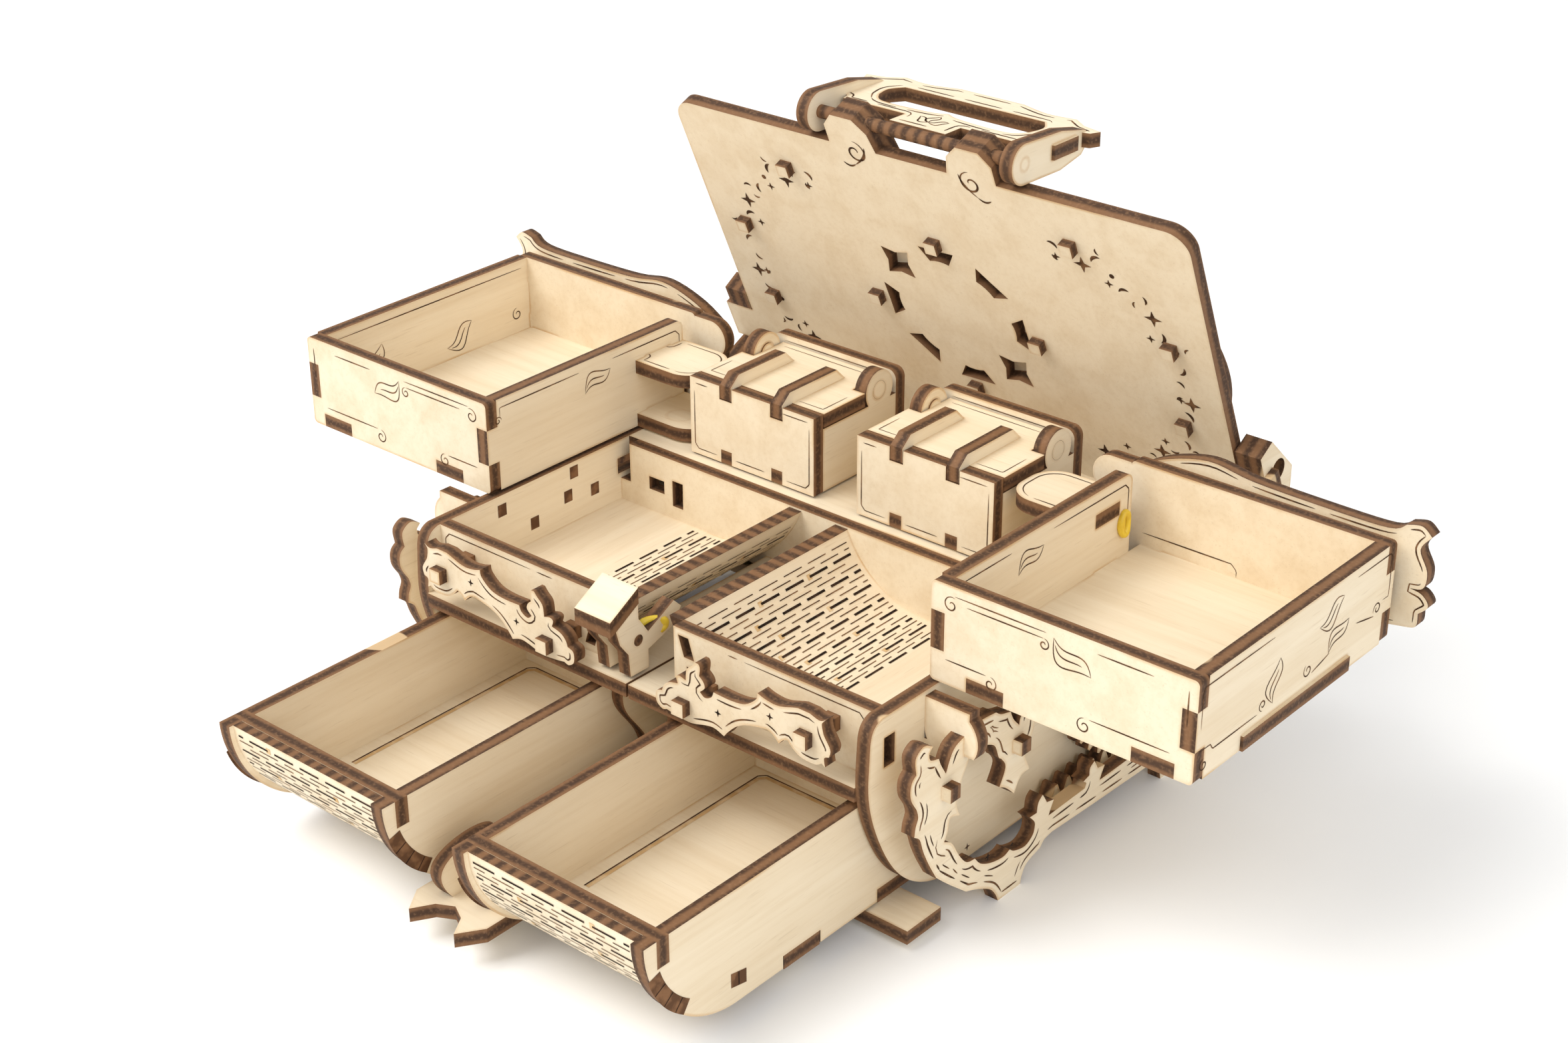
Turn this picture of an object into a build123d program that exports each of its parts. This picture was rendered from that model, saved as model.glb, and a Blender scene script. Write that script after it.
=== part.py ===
from build123d import *
import math
import os

# A sewing box cut from thin plywood, standing open. X runs to the right, Y to the back and Z up.
# The origin is on the table, midway between the side plates, under the middle of the case.

# Sheet and fits
ply = 3.0                  # plywood thickness
gap = 0.3                  # free gap between pieces that move past each other
pin_radius = 2.0           # hinge pins and shafts
pin_clearance = 0.05       # radial clearance of a pin in its hole

# Case
case_half = 56.0           # inner half width, to the inside of a side plate
case_front = -50.0         # front face of the front walls
case_rear = 52.5           # rear face of the rear wall
rim_z = 48.0               # top of the front walls and of the deck
floor_z = 34.1             # top of the compartment floors and of the front shelf
belly_z = 4.7              # underside of the side plates, on top of the foot bars
shelf_reach = 4.6          # shelf in front of the front walls
cross_y = 2.0              # front face of the cross wall
bend_radius = 22.3         # inside radius of the bent floor
bend_start = 28.2          # distance of the bend's foot from the centre
channel_half = 7.7         # half the open channel at its top

# Small boxes on the deck
box_x = 22.7               # centre of a small box from the centre of the case
box_width = 34.0
box_front = 7.3            # front face of the box fronts
box_depth = 29.7
box_base = 48.5
box_height = 17.5
box_ear_y = 28.5           # hinge pin of a small lid
box_ear_z = 65.3
box_ear_radius = 4.4
lid_plate_back = 33.5      # rear edge of a small lid
rib_back = 27.5

# Trays
tray_axis_x = 49.3         # vertical hinge of a tray
tray_axis_y = 14.2
tray_inner_x = 57.2        # face of the tray next to the case
tray_width = 55.6
tray_front = -34.8
tray_depth = 65.8
tray_base = 48.5
tray_height = 20.3
lug_high_z = 61.0
lug_left = 40.8            # a lug seen from above, with rounded free corners
lug_front = 9.0
lug_back = 24.0
lug_corner = 6.0
lug_tab = (12.0, 20.0)     # its tab through the inner wall, front and back
post_radius = 3.0
post_foot_z = 31.1
overlay_gap = 2.0          # between a tray's back wall and the ornament behind it

# Lid
lid_axis_y = 23.5
lid_axis_z = 31.0
lid_lean_deg = 23.8        # lean of the open panel towards the front
lid_close_deg = 66.0
lid_reach = 40.4           # from the hinge to the panel's inner face
lid_tail = 9.0             # panel behind the hinge, along the panel
lid_depth = 83.5
lid_width = 129.0
lid_corner = 5.0
arm_x = 65.0               # inner face of the lid arms
hub_radius = 8.0

# Gears
side_teeth, side_module = 32, 1.3        # wheels on the lid arms
pinion_teeth, pinion_module = 10, 0.75   # small pinion of the centre shaft
wheel_teeth, wheel_module = 13, 1.3      # wheel of the centre shaft
pressure_deg = 25.0
addendum = 0.8             # share of the module
dedendum = 1.15
backlash = 0.16            # taken off each tooth's width
wheel_x = 60.0             # inner face of the lid's wheels and of the side racks
centre_y = -11.0           # centre shaft
carriage_top = 8.0         # top face of the carriage plate
rack_pitch_z = 12.8        # pitch line of the carriage rack

# Drawers
drawer_front = -108.6      # top front edge of the open drawers
drawer_length = 79.6
drawer_inner = 9.2         # inner side of a drawer from the centre
drawer_top = 29.0
drawer_foot = 5.3
drawer_floor_ply = 2.0

rib_x = 7.0                # ribs of a small lid from its middle line
rib_rise = 2.6             # ribs above the small lid
box_back_top = 67.6
ring_radius = 16.85        # ring of slots round the lid's centre
peg_width = 2.9            # square pegs through the lid and the ornaments
peg_spots = [(x * s, up) for x, up in ((36.0, 31.0), (55.0, 10.0), (54.3, -11.3), (21.0, -0.4)) for s in (-1, 1)]
peg_spots += [(0.0, 20.4), (0.0, -20.5)]
ear_rise = 7.5             # ears above the lid's upper edge
pin_s = 79.2               # handle pin up the lid
handle_half = 27.0
handle_pin_radius = 1.4
tab_s = 8.0                # middle of the lid's tabs in the arms
tab_length = 10.0
sector_teeth, sector_module = 15, 1.0    # sectors that drive the tray sliders
tray_teeth = 11
sector_x = 36.0
slider_z = 40.5            # underside of the tray sliders
slider_pitch_z = 38.5
lane_x = -2.3              # centre rack and pinion
rack_x = -5.6              # carriage rack and its wheel
side_travel_room = 58.5    # slot of the carriage ahead of the centre shaft
drive_z = 1.2              # underside of the drive's cross bar
scroll_x = 65.0            # side scrolls
bracket_y = -38.4
front_scroll_y = -57.8     # front face of the front scrolls
latch_cheeks = (-8.8, -3.2)
latch_pin_radius = 1.2
latch_room = 6.4           # cut back of the left front wall beside the latch

# Worked out
lean = math.radians(lid_lean_deg)
closing = math.radians(lid_close_deg)
side_radius = side_module * side_teeth / 2
pinion_radius = pinion_module * pinion_teeth / 2
wheel_radius = wheel_module * wheel_teeth / 2
drive_travel = side_radius * closing
centre_z = rack_pitch_z + wheel_radius
side_pitch_z = lid_axis_z - side_radius
centre_pitch_z = centre_z - pinion_radius
outer = case_half + ply
sector_radius = sector_module * sector_teeth / 2
tray_radius = sector_module * tray_teeth / 2
lid_tip = lid_depth - lid_tail
lid_middle = lid_depth / 2 - lid_tail
drawer_outer = case_half - 0.5
bore = pin_radius + pin_clearance


def rect(a0, b0, a1, b1):
    """Rectangle between two corners."""
    return Pos((a0 + a1) / 2, (b0 + b1) / 2) * Rectangle(a1 - a0, b1 - b0)


def round_rect(a0, b0, a1, b1, radius):
    """Rectangle between two corners with all corners rounded."""
    return Pos((a0 + a1) / 2, (b0 + b1) / 2) * RectangleRounded(a1 - a0, b1 - b0, radius)


def shape(*points):
    """Closed outline of straight runs."""
    return make_face(Polyline(*points, close=True))


def disc(a, b, radius):
    return Pos(a, b) * Circle(radius)


def peg(a, b):
    """Square outline of a peg centred at (a, b)."""
    return Pos(a, b) * Rectangle(peg_width, peg_width)


def flat(face, z, thick=ply):
    """Plate lying flat, from z upwards."""
    return extrude(Plane.XY.offset(z) * face, amount=thick)


def side(face, x, thick=ply):
    """Plate facing sideways, from x towards +X; the face is drawn in Y and Z."""
    return extrude(Plane.YZ.offset(x) * face, amount=thick)


def front(face, y, thick=ply):
    """Plate facing the front, from y backwards; the face is drawn in X and Z."""
    return extrude(Plane.XZ.offset(-(y + thick)) * face, amount=thick)


def mirrored(solid):
    """The same piece on the left of the case."""
    return mirror(solid, about=Plane.YZ)


def both(solid):
    """A right-hand piece and its left-hand twin."""
    return [solid, mirrored(solid)]


def rod(x0, x1, y, z, radius=pin_radius):
    """Round pin along X."""
    return side(disc(y, z, radius), x0, x1 - x0)


def write(name, *solids):
    """One node: every solid given, kept separate."""
    parts = []
    for item in solids:
        parts += list(item.solids())
    export_step(Compound(children=parts) if len(parts) > 1 else parts[0], f"parts/{name}.step")


def gear(teeth, module, holes=()):
    """Involute spur gear centred on the origin, with a tooth space pointing straight down."""
    pitch = module * teeth / 2
    base = pitch * math.cos(math.radians(pressure_deg))
    tip = pitch + addendum * module
    root = pitch - dedendum * module
    roll = lambda r: math.sqrt(max(r * r / base ** 2 - 1, 0))
    involute = lambda r: roll(r) - math.atan(roll(r))
    half = (math.pi * module / 2 - backlash) / (2 * pitch)
    start = max(base, root)
    radii = [start + (tip - start) * i / 4 for i in range(5)]
    flank = [(r, half + involute(pitch) - involute(r)) for r in radii]
    if root < start:
        flank.insert(0, (root, flank[0][1]))
    points = []
    for n in range(teeth):
        middle = -math.pi / 2 + (n + 0.5) * 2 * math.pi / teeth
        for r, a in [(r, -a) for r, a in flank] + flank[::-1]:
            points.append((r * math.cos(middle + a), r * math.sin(middle + a)))
    face = shape(*points)
    for hole in holes:
        face -= hole
    return face


def rack(module, first, last, pitch_z, foot_z, tooth_y):
    """Rack with teeth on its top edge, one of them centred on tooth_y, between first and last."""
    pitch = math.pi * module
    slope = math.tan(math.radians(pressure_deg))
    top, low = addendum * module, -dedendum * module
    half = lambda h: (pitch / 2 - backlash) / 2 - h * slope
    points = [(first, foot_z), (first, pitch_z + low)]
    count = int((last - first) / pitch) + 2
    start = math.ceil((first + pitch / 2 - tooth_y) / pitch)
    for n in range(start, start + count):
        y = tooth_y + n * pitch
        if y > last - pitch / 2:
            break
        for h, s in ((low, -1), (top, -1), (top, 1), (low, 1)):
            points.append((y + s * half(h), pitch_z + h))
    points += [(last, pitch_z + low), (last, foot_z)]
    return shape(*points)


def side_plate():
    """Case side: rounded top front corner, bellied front, flat foot, with the lid shaft's hole."""
    edge_y = case_front - shelf_reach + 0.6
    lines = [
        Spline((edge_y + 3.4, rim_z), (edge_y + 0.9, rim_z - 1.6), (edge_y, rim_z - 6.0), (edge_y - 0.3, 34.0),
               (edge_y + 3.0, 22.0), (edge_y + 9.0, 12.0), (edge_y + 21.0, belly_z)),
        Polyline((edge_y + 21.0, belly_z), (case_rear, belly_z), (case_rear, rim_z), (edge_y + 3.4, rim_z)),
    ]
    face = make_face(lines)
    face -= disc(lid_axis_y, lid_axis_z, bore)
    face -= rect(1.2, slider_z - gap, 37.0, slider_z + ply + gap)
    face -= rect(case_front, floor_z + 3.3, case_front + ply, floor_z + 9.5)
    return side(face, case_half)


def front_wall():
    """Right front wall, with the two slanted slots near its inner end."""
    face = rect(channel_half + 0.6, floor_z, case_half, rim_z)
    for low, high in ((1.6, 6.2), (8.0, 12.4)):
        face -= shape((13.4 - low * 0.32, floor_z + low), (16.0 - low * 0.32, floor_z + low),
                      (16.0 - high * 0.32, floor_z + high), (13.4 - high * 0.32, floor_z + high))
    return front(face, case_front)


def shelf():
    """Right half of the front shelf and of the channel's floor, one plate."""
    tongue = 14.0
    face = rect(0.3, case_front - shelf_reach, case_half, case_front + ply)
    face += rect(0.3, case_front, tongue, cross_y)
    return flat(face, floor_z - ply)


def bent_floor():
    """Right compartment floor: flat by the side plate, bent up along the channel."""
    centre_z_ = floor_z + bend_radius
    top = rim_z - 0.4
    inside = bend_radius
    outside = bend_radius + ply
    reach = lambda r: math.acos((centre_z_ - top) / r)
    arc = lambda r, a: (bend_start - r * math.sin(a), centre_z_ - r * math.cos(a))
    a_in, a_out = reach(inside), reach(outside)
    lines = [
        ThreePointArc(arc(inside, a_in), arc(inside, a_in / 2), arc(inside, 0)),
        Polyline(arc(inside, 0), (case_half, floor_z), (case_half, floor_z - ply), arc(outside, 0)),
        ThreePointArc(arc(outside, 0), arc(outside, a_out / 2), arc(outside, a_out)),
        Polyline(arc(outside, a_out), arc(inside, a_in)),
    ]
    return front(make_face(lines), case_front + ply, cross_y - case_front - ply)


def cross_wall():
    """Wall behind the compartments, with tab slots, rounded shoulders and a hole over the channel."""
    face = round_rect(-case_half, floor_z - ply, case_half, rim_z, 1.5)
    for s in (-1, 1):
        face -= Pos(s * 45.2, floor_z + 6.5) * Rectangle(4.4, ply)
        face -= Pos(s * 39.1, floor_z + 6.0) * Rectangle(ply, 6.0)
        face -= Pos(s * (case_half - 1.5), rim_z - 4.5) * Rectangle(ply, 9.0)
    face -= disc(0, floor_z + 6.5, 1.6)
    return front(face, cross_y)


def rear_wall():
    return front(rect(-case_half, belly_z, case_half, rim_z - ply), case_rear - ply)


def deck():
    """Plate under the small boxes, with a bearing hole for each tray post."""
    face = rect(-case_half, cross_y + ply, case_half, case_rear)
    for s in (-1, 1):
        face -= disc(s * tray_axis_x, tray_axis_y, post_radius + pin_clearance)
    return flat(face, rim_z - ply)


def box_front_plate():
    """Front of a small box: notches for the ribs above and for the floor's tabs below."""
    half = box_width / 2
    face = rect(box_x - half, box_base, box_x + half, box_base + box_height)
    for s in (-1, 1):
        face -= rect(box_x + s * 7.0 - 1.7, box_base + box_height - ply, box_x + s * 7.0 + 1.7,
                     box_base + box_height)
        face -= rect(box_x + s * 7.0 - 1.5, box_base, box_x + s * 7.0 + 1.5, box_base + ply)
    return front(face, box_front)


def box_cheek(x):
    """Side of a small box, with the round ear that carries the lid's pin."""
    back = box_front + box_depth
    top = box_base + box_height - ply - gap
    face = rect(box_front + ply, box_base, back - ply, top)
    face += disc(box_ear_y, box_ear_z, box_ear_radius)
    face -= disc(box_ear_y, box_ear_z, bore)
    return side(face, x)


def box_floor():
    """Floor of a small box, with two tabs through the front."""
    half = box_width / 2 - ply
    face = rect(box_x - half, box_front + ply, box_x + half, box_front + box_depth - ply)
    for s in (-1, 1):
        face += Pos(box_x + s * rib_x, box_front + ply / 2) * Rectangle(ply, ply)
    return flat(face, box_base)


def box_back():
    """Taller back panel of a small box, with rounded shoulders."""
    half = box_width / 2
    face = round_rect(box_x - half, box_base, box_x + half, box_back_top, 2.0)
    return front(face, box_front + box_depth - ply)


def small_lid_plate():
    """Lid plate of the right small box, between its cheeks' tops, slotted for the two ribs."""
    half = box_width / 2
    inner = half - ply - gap
    face = rect(box_x - half, box_front + ply + gap, box_x + half, box_ear_y - box_ear_radius - gap)
    face += rect(box_x - inner, box_front + ply + gap, box_x + inner, lid_plate_back)
    for s in (-1, 1):
        face -= rect(box_x + s * rib_x - ply / 2, box_front, box_x + s * rib_x + ply / 2, rib_back)
    return flat(face, box_base + box_height - ply)


def small_rib(x):
    """Rib let into a small lid: up at the front, level, then sloped down to its back end."""
    top = box_base + box_height
    low = top - ply
    face = shape((box_front, low + gap), (box_front, top + 0.4), (box_front + 2.6, top + rib_rise),
                 (rib_back - rib_rise, top + rib_rise), (rib_back, top), (rib_back, low), (box_front + ply, low),
                 (box_front + ply, low + gap))
    return side(face, x - ply / 2)


def small_pins():
    """Short pins of a small lid, one in the ear at each side."""
    half = box_width / 2
    long = ply + gap
    return [rod(a, a + long, box_ear_y, box_ear_z) for a in (box_x - half, box_x + half - long)]


def gear_bracket(x):
    """Plate hanging in the centre gap, with an S-curved front edge and the centre shaft's hole."""
    top = floor_z - ply
    low = carriage_top + ply
    edge = case_front + 2.0
    lines = [
        Spline((edge, top), (edge - 1.5, 24.0), (edge + 3.0, 17.0), (edge + 5.0, low)),
        Polyline((edge + 5.0, low), (edge + 9.0, low), (edge + 14.0, centre_z - 5.0),
                 (centre_y + 6.0, centre_z - 5.0), (centre_y + 6.0, top), (edge, top)),
    ]
    face = make_face(lines)
    face -= disc(centre_y, centre_z, bore)
    return side(face, x)


def lean_point(s, t):
    """Y and Z of a point s up the open lid and t behind its inner face."""
    return (lid_axis_y + (lid_reach + t) * math.cos(lean) - s * math.sin(lean),
            lid_axis_z + (lid_reach + t) * math.sin(lean) + s * math.cos(lean))


def lid_plate(face, depth=0.0, thick=ply):
    """Plate parallel to the open lid; the face is drawn across and up the lid from the hinge's foot point."""
    y, z = lean_point(0, 0)
    plane = Plane(origin=(0, y, z), x_dir=(1, 0, 0), z_dir=(0, -math.cos(lean), -math.sin(lean)))
    return extrude(plane.offset(-depth) * face, amount=-thick)


def ear(s, layer):
    """Ear that rises from the lid's upper edge to the handle's pin; its inner side slants."""
    top = lid_tip + ear_rise
    foot = lid_tip - (4.0 if layer == 0 else 24.0)
    face = shape((s * 21.0, foot), (s * 21.0, top - 3.0), (s * 18.5, top), (s * 13.0, top),
                 (s * 10.0, top - 3.0), (s * 8.0, lid_tip - 4.0), (s * 11.0, foot - 0.1))
    return face


def ring_slot():
    """Curved slot of the ring, wider outside, with pointed corners."""
    corners = []
    for radius, spread, bulge in ((ring_radius + 2.0, 14.0, 0.6), (ring_radius - 1.8, 9.5, -0.2)):
        row = []
        for k in range(5):
            t = k / 2 - 1
            angle = math.radians(spread * t)
            reach = radius - bulge * (1 - t * t)
            row.append((reach * math.cos(angle), reach * math.sin(angle)))
        corners += row if not corners else row[::-1]
    return shape(*corners)


def diamond():
    """Four-pointed slot of the ring, with hollow sides."""
    points = []
    for k in range(8):
        radius = 5.0 if k % 2 == 0 else 2.7
        angle = math.radians(45 * k)
        points.append((ring_radius + radius * math.cos(angle), radius * math.sin(angle)))
    return shape(*points)


def lid_panel():
    """Lid panel with a pierced ring round the centre, two ears and a tab for each arm."""
    face = round_rect(-lid_width / 2, -lid_tail, lid_width / 2, lid_tip, lid_corner)
    for s in (-1, 1):
        face += ear(s, 0)
        face += Pos(s * (lid_width / 2 + ply), tab_s) * Rectangle(2 * ply + 4.0, tab_length)
    for n in range(8):
        slot = diamond() if n % 4 == 3 else ring_slot()
        face -= Pos(0, lid_middle) * Rot(0, 0, 2 + 45 * n) * slot
    panel = lid_plate(face)
    for x, s in peg_spots:
        panel -= lid_plate(peg(x, lid_middle + s))
    return panel - handle_pin(pin_clearance)


def lid_overlays():
    """Ornaments on the outer face: a scroll by each side, a rosette, and the ears' second layer."""
    parts = []
    for s in (-1, 1):
        c_face = disc(s * 35.0, lid_middle, 28.0) - disc(s * 30.0, lid_middle, 21.0)
        c_face -= Pos(s * 12.0, lid_middle) * Rectangle(44.0, 80.0)
        parts.append(lid_plate(c_face, ply))
        parts.append(lid_plate(ear(s, 1), ply) - handle_pin(pin_clearance))
    rosette = disc(0, lid_middle, 20.5) - disc(0, lid_middle, 5.0)
    for n in range(8):
        rosette += Pos(0, lid_middle) * Rot(0, 0, 45 * n) * Pos(20.0, 0) * Circle(3.0)
    parts.append(lid_plate(rosette, ply))
    return parts


def lid_pegs():
    """Square pegs through the panel, standing out a little on both faces."""
    return [lid_plate(peg(x, lid_middle + s), -2.0, ply + 2.0) for x, s in peg_spots]


def lid_arm():
    """Right arm, two sheets thick: hub on the shaft, finial at the lid's corner."""
    hub = disc(lid_axis_y, lid_axis_z, hub_radius)
    low, high = lean_point(3.0, 0), lean_point(18.0, 0)
    face = hub + shape((lid_axis_y, lid_axis_z + hub_radius), (38.0, 40.0), (45.0, 43.0), low, high,
                       (high[0] + 4.0, high[1] + 2.5), (66.0, 58.0), (66.0, 51.0), (60.0, 42.0),
                       (48.0, 34.0), (36.0, 28.0), (lid_axis_y + 3.0, lid_axis_z - hub_radius + 0.6))
    face -= disc(60.5, 59.0, 2.4)
    face -= disc(lid_axis_y, lid_axis_z, pin_radius)
    arm = side(face, arm_x, 2 * ply)
    return arm - lid_panel()


def side_wheel():
    """Toothed sector next to the right arm, meshing with the side rack; it stays below the trays."""
    reach = 2 * side_radius
    first, last = math.radians(-174), math.radians(-74)
    wedge = shape((0, 0), (reach * math.cos(first), reach * math.sin(first)), (-reach, -reach),
                  (reach * math.cos(last), reach * math.sin(last)))
    face = (gear(side_teeth, side_module) & wedge) + Circle(hub_radius - 2.0) - Circle(pin_radius)
    face -= Pos(-8.5, -8.5) * Circle(3.2)
    return side(Pos(lid_axis_y, lid_axis_z) * face, wheel_x)


def lid_shaft():
    """Hinge shaft with the two toothed sectors that drive the trays."""
    sector = gear(sector_teeth, sector_module)
    low, high = math.radians(4), math.radians(110)
    reach = 2 * sector_radius
    wedge = shape((0, 0), (reach * math.cos(low), reach * math.sin(low)), (reach, reach),
                  (reach * math.cos(high), reach * math.sin(high)))
    sector = (Rot(0, 0, 180) * sector) & wedge
    sector = sector + Circle(4.2) - Circle(pin_radius)
    sector = side(Pos(lid_axis_y, lid_axis_z) * sector, sector_x)
    return [rod(-arm_x - 2 * ply, arm_x + 2 * ply, lid_axis_y, lid_axis_z)] + both(sector)


def handle_pin(extra=0.0):
    """Pin of the handle, through both ears and both cheeks."""
    y, z = lean_point(pin_s, ply)
    return side(disc(y, z, handle_pin_radius + extra), -handle_half, 2 * handle_half)


def handle_cheek(x):
    """End of the handle: round on the pin, running straight back, hooked below."""
    y, z = lean_point(pin_s, ply)
    face = disc(y, z, 4.2)
    face += shape((y, z + 4.2), (y + 12.0, z + 3.6), (y + 20.0, z + 1.8), (y + 22.0, z),
                  (y + 19.0, z - 3.0), (y + 12.0, z - 4.4), (y, z - 4.2))
    face -= disc(y, z, handle_pin_radius)
    return side(face, x) - handle_grip()


def handle_grip():
    """Flat grip between the cheeks: straight front bar between the ears, wavy back, long finger opening."""
    y, z = lean_point(pin_s, ply)
    half = ((7.0, y + 1.0), (7.0, y + 6.0)), ((23.0, y + 6.0), (23.6, y + 8.0)), ((27.6, y + 9.0), (27.6, y + 17.0)), (
        (25.4, y + 17.0), (26.2, y + 18.6), (28.6, y + 19.4)), ((29.6, y + 21.6), (25.0, y + 22.6)), (
        (21.6, y + 25.0), (15.0, y + 24.2), (8.0, y + 26.0))
    right = [p for run in half for p in (smooth(list(run)) + [run[-1]] if len(run) > 2 else run)]
    face = shape(*right, *[(-a, b) for a, b in right[::-1]])
    hole = ((-19.0, y + 12.6), (-15.5, y + 9.6), (-4.0, y + 10.0)), ((0.0, y + 11.4), (4.0, y + 10.0), (15.5, y + 9.6)), (
        (19.0, y + 12.6), (19.6, y + 16.4)), ((17.6, y + 19.6), (-17.6, y + 19.6)), ((-17.6, y + 19.6), (-19.6, y + 16.4))
    face -= cusped(*hole)
    return flat(face, z - 1.5) - handle_pin()


def tray_pieces():
    """Right tray: end walls, side walls, floor with lugs, ornament, and the post with its toothed wheel."""
    x0, x1 = tray_inner_x, tray_inner_x + tray_width
    y0, y1 = tray_front, tray_front + tray_depth
    top = tray_base + tray_height
    corner = 2.0
    post_hole = disc(tray_axis_x, tray_axis_y, post_radius)
    # end walls
    face = round_rect(x0, tray_base, x1, top, 1.0)
    for a, b in ((8.1, 16.3), (tray_width - 12.4, tray_width - 3.7)):
        face -= rect(x0 + a, tray_base, x0 + b, tray_base + ply)
    face -= rect(x0, tray_base + 6.5, x0 + ply, top - 6.0)
    face -= rect(x1 - ply, tray_base + 6.5, x1, top - 6.0)
    front_wall_ = front(face, y0)
    back_face = face + rect(x0, tray_base + 6.5, x0 + ply, top - 6.0)
    back_face += rect(x0 - 5.0, top - 9.0, x0, top - 0.5) + disc(x0 - 4.6, top - 4.75, 4.25)
    back_wall = front(back_face, y1 - ply)
    # side walls
    face = rect(y0 + ply, tray_base, y1 - ply, top) + rect(y0, tray_base + 6.5, y1, top - 6.0)
    tab_front, tab_back = lug_tab
    slots = face & rect(y0, tray_base, lug_back - corner, top)
    slots += rect(y0 + ply, tray_base, lug_back, top - corner)
    slots += disc(lug_back - corner, top - corner, corner)
    slots -= rect(tab_front, lug_high_z, tab_back, lug_high_z + ply)
    slots -= rect(tab_front, tray_base, tab_back, tray_base + ply)
    inner_wall = side(slots, x0)
    outer_wall = side(face - rect(-20.0, tray_base, 16.0, tray_base + ply), x1 - ply)
    # floor and lugs
    lug = round_rect(lug_left, lug_front, x0 + lug_corner, lug_back, lug_corner)
    lug &= rect(lug_left, lug_front, x0, lug_back)
    lug += rect(x0, tab_front, x0 + ply, tab_back)
    face = rect(x0 + ply, y0 + ply, x1 - ply, y1 - ply) + rect(x1 - ply, -20.0, x1 + 0.6, 16.0)
    for a, b in ((8.1, 16.3), (tray_width - 12.4, tray_width - 3.7)):
        face += rect(x0 + a, y0, x0 + b, y1)
    floor = flat(face + lug - post_hole, tray_base)
    upper = flat(lug, lug_high_z)
    # ornament behind the back wall
    face = cusped(
        ((x0 - 3.5, top - 5.0), (x0 + 4.0, top - 0.5), (x0 + 14.0, top + 2.2), (x0 + 24.0, top + 1.0),
         (x0 + 40.0, top + 0.6), (x1 - 3.0, top + 0.8)),
        ((x1 + 0.5, top + 2.6), (x1 + 3.5, top + 3.2)),
        ((x1 + 5.6, top + 1.6), (x1 + 3.6, top - 1.5), (x1 + 5.4, top - 5.5), (x1 + 5.0, top - 9.0)),
        ((x1 + 2.4, top - 9.8), (x1 + 5.0, top - 10.4), (x1 + 6.4, top - 12.4)),
        ((x1 + 4.6, top - 14.4), (x1 + 4.4, top - 17.2)),
        ((x1 + 2.0, top - 18.0), (x1 - 8.0, tray_base + 1.0), (x1 - 20.0, tray_base + 3.0),
         (x0 + 26.0, tray_base + 5.5), (x0 + 10.0, tray_base + 1.0), (x0 - 1.0, tray_base + 4.0)))
    face -= round_rect(x0 + 8.0, tray_base + 6.5, x0 + 22.0, top - 5.0, 3.0)
    face -= round_rect(x1 - 22.0, tray_base + 6.5, x1 - 6.0, top - 7.0, 3.0)
    ornament = front(face, y1 + overlay_gap)
    studs = [front(peg(x, tray_base + 9.5), y1, overlay_gap) for x in (x0 + 4.0, x0 + 29.0, x1 - 2.6)]
    # post and wheel
    wheel = Rot(0, 0, 90) * gear(tray_teeth, sector_module)
    wheel = flat(Pos(tray_axis_x, tray_axis_y) * wheel, slider_z)
    post = flat(post_hole, post_foot_z, tray_base + ply - post_foot_z)
    return [front_wall_, back_wall], [inner_wall, outer_wall], [floor, upper], [ornament] + studs, [post + wheel]


def tray_slider():
    """Right slider: a rack with its teeth down over the sector, joined to a rack beside the tray's wheel."""
    arm_edge = tray_axis_x + tray_radius
    teeth = rack(sector_module, tray_axis_y - 2.6, 34.0, 0.0, -3.7, tray_axis_y)
    teeth = Pos(arm_edge, 0) * Rot(0, 0, 90) * teeth
    face = teeth + rect(sector_x, 30.0, arm_edge + 3.7, 36.0)
    plate = flat(face, slider_z)
    bar = rack(sector_module, lid_axis_y - 3.0, 36.0, 0.0, -(slider_z - slider_pitch_z), lid_axis_y)
    bar = mirror(bar, about=Plane.XZ)
    bar = Pos(0, slider_pitch_z) * bar
    return plate + side(bar, sector_x)


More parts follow.
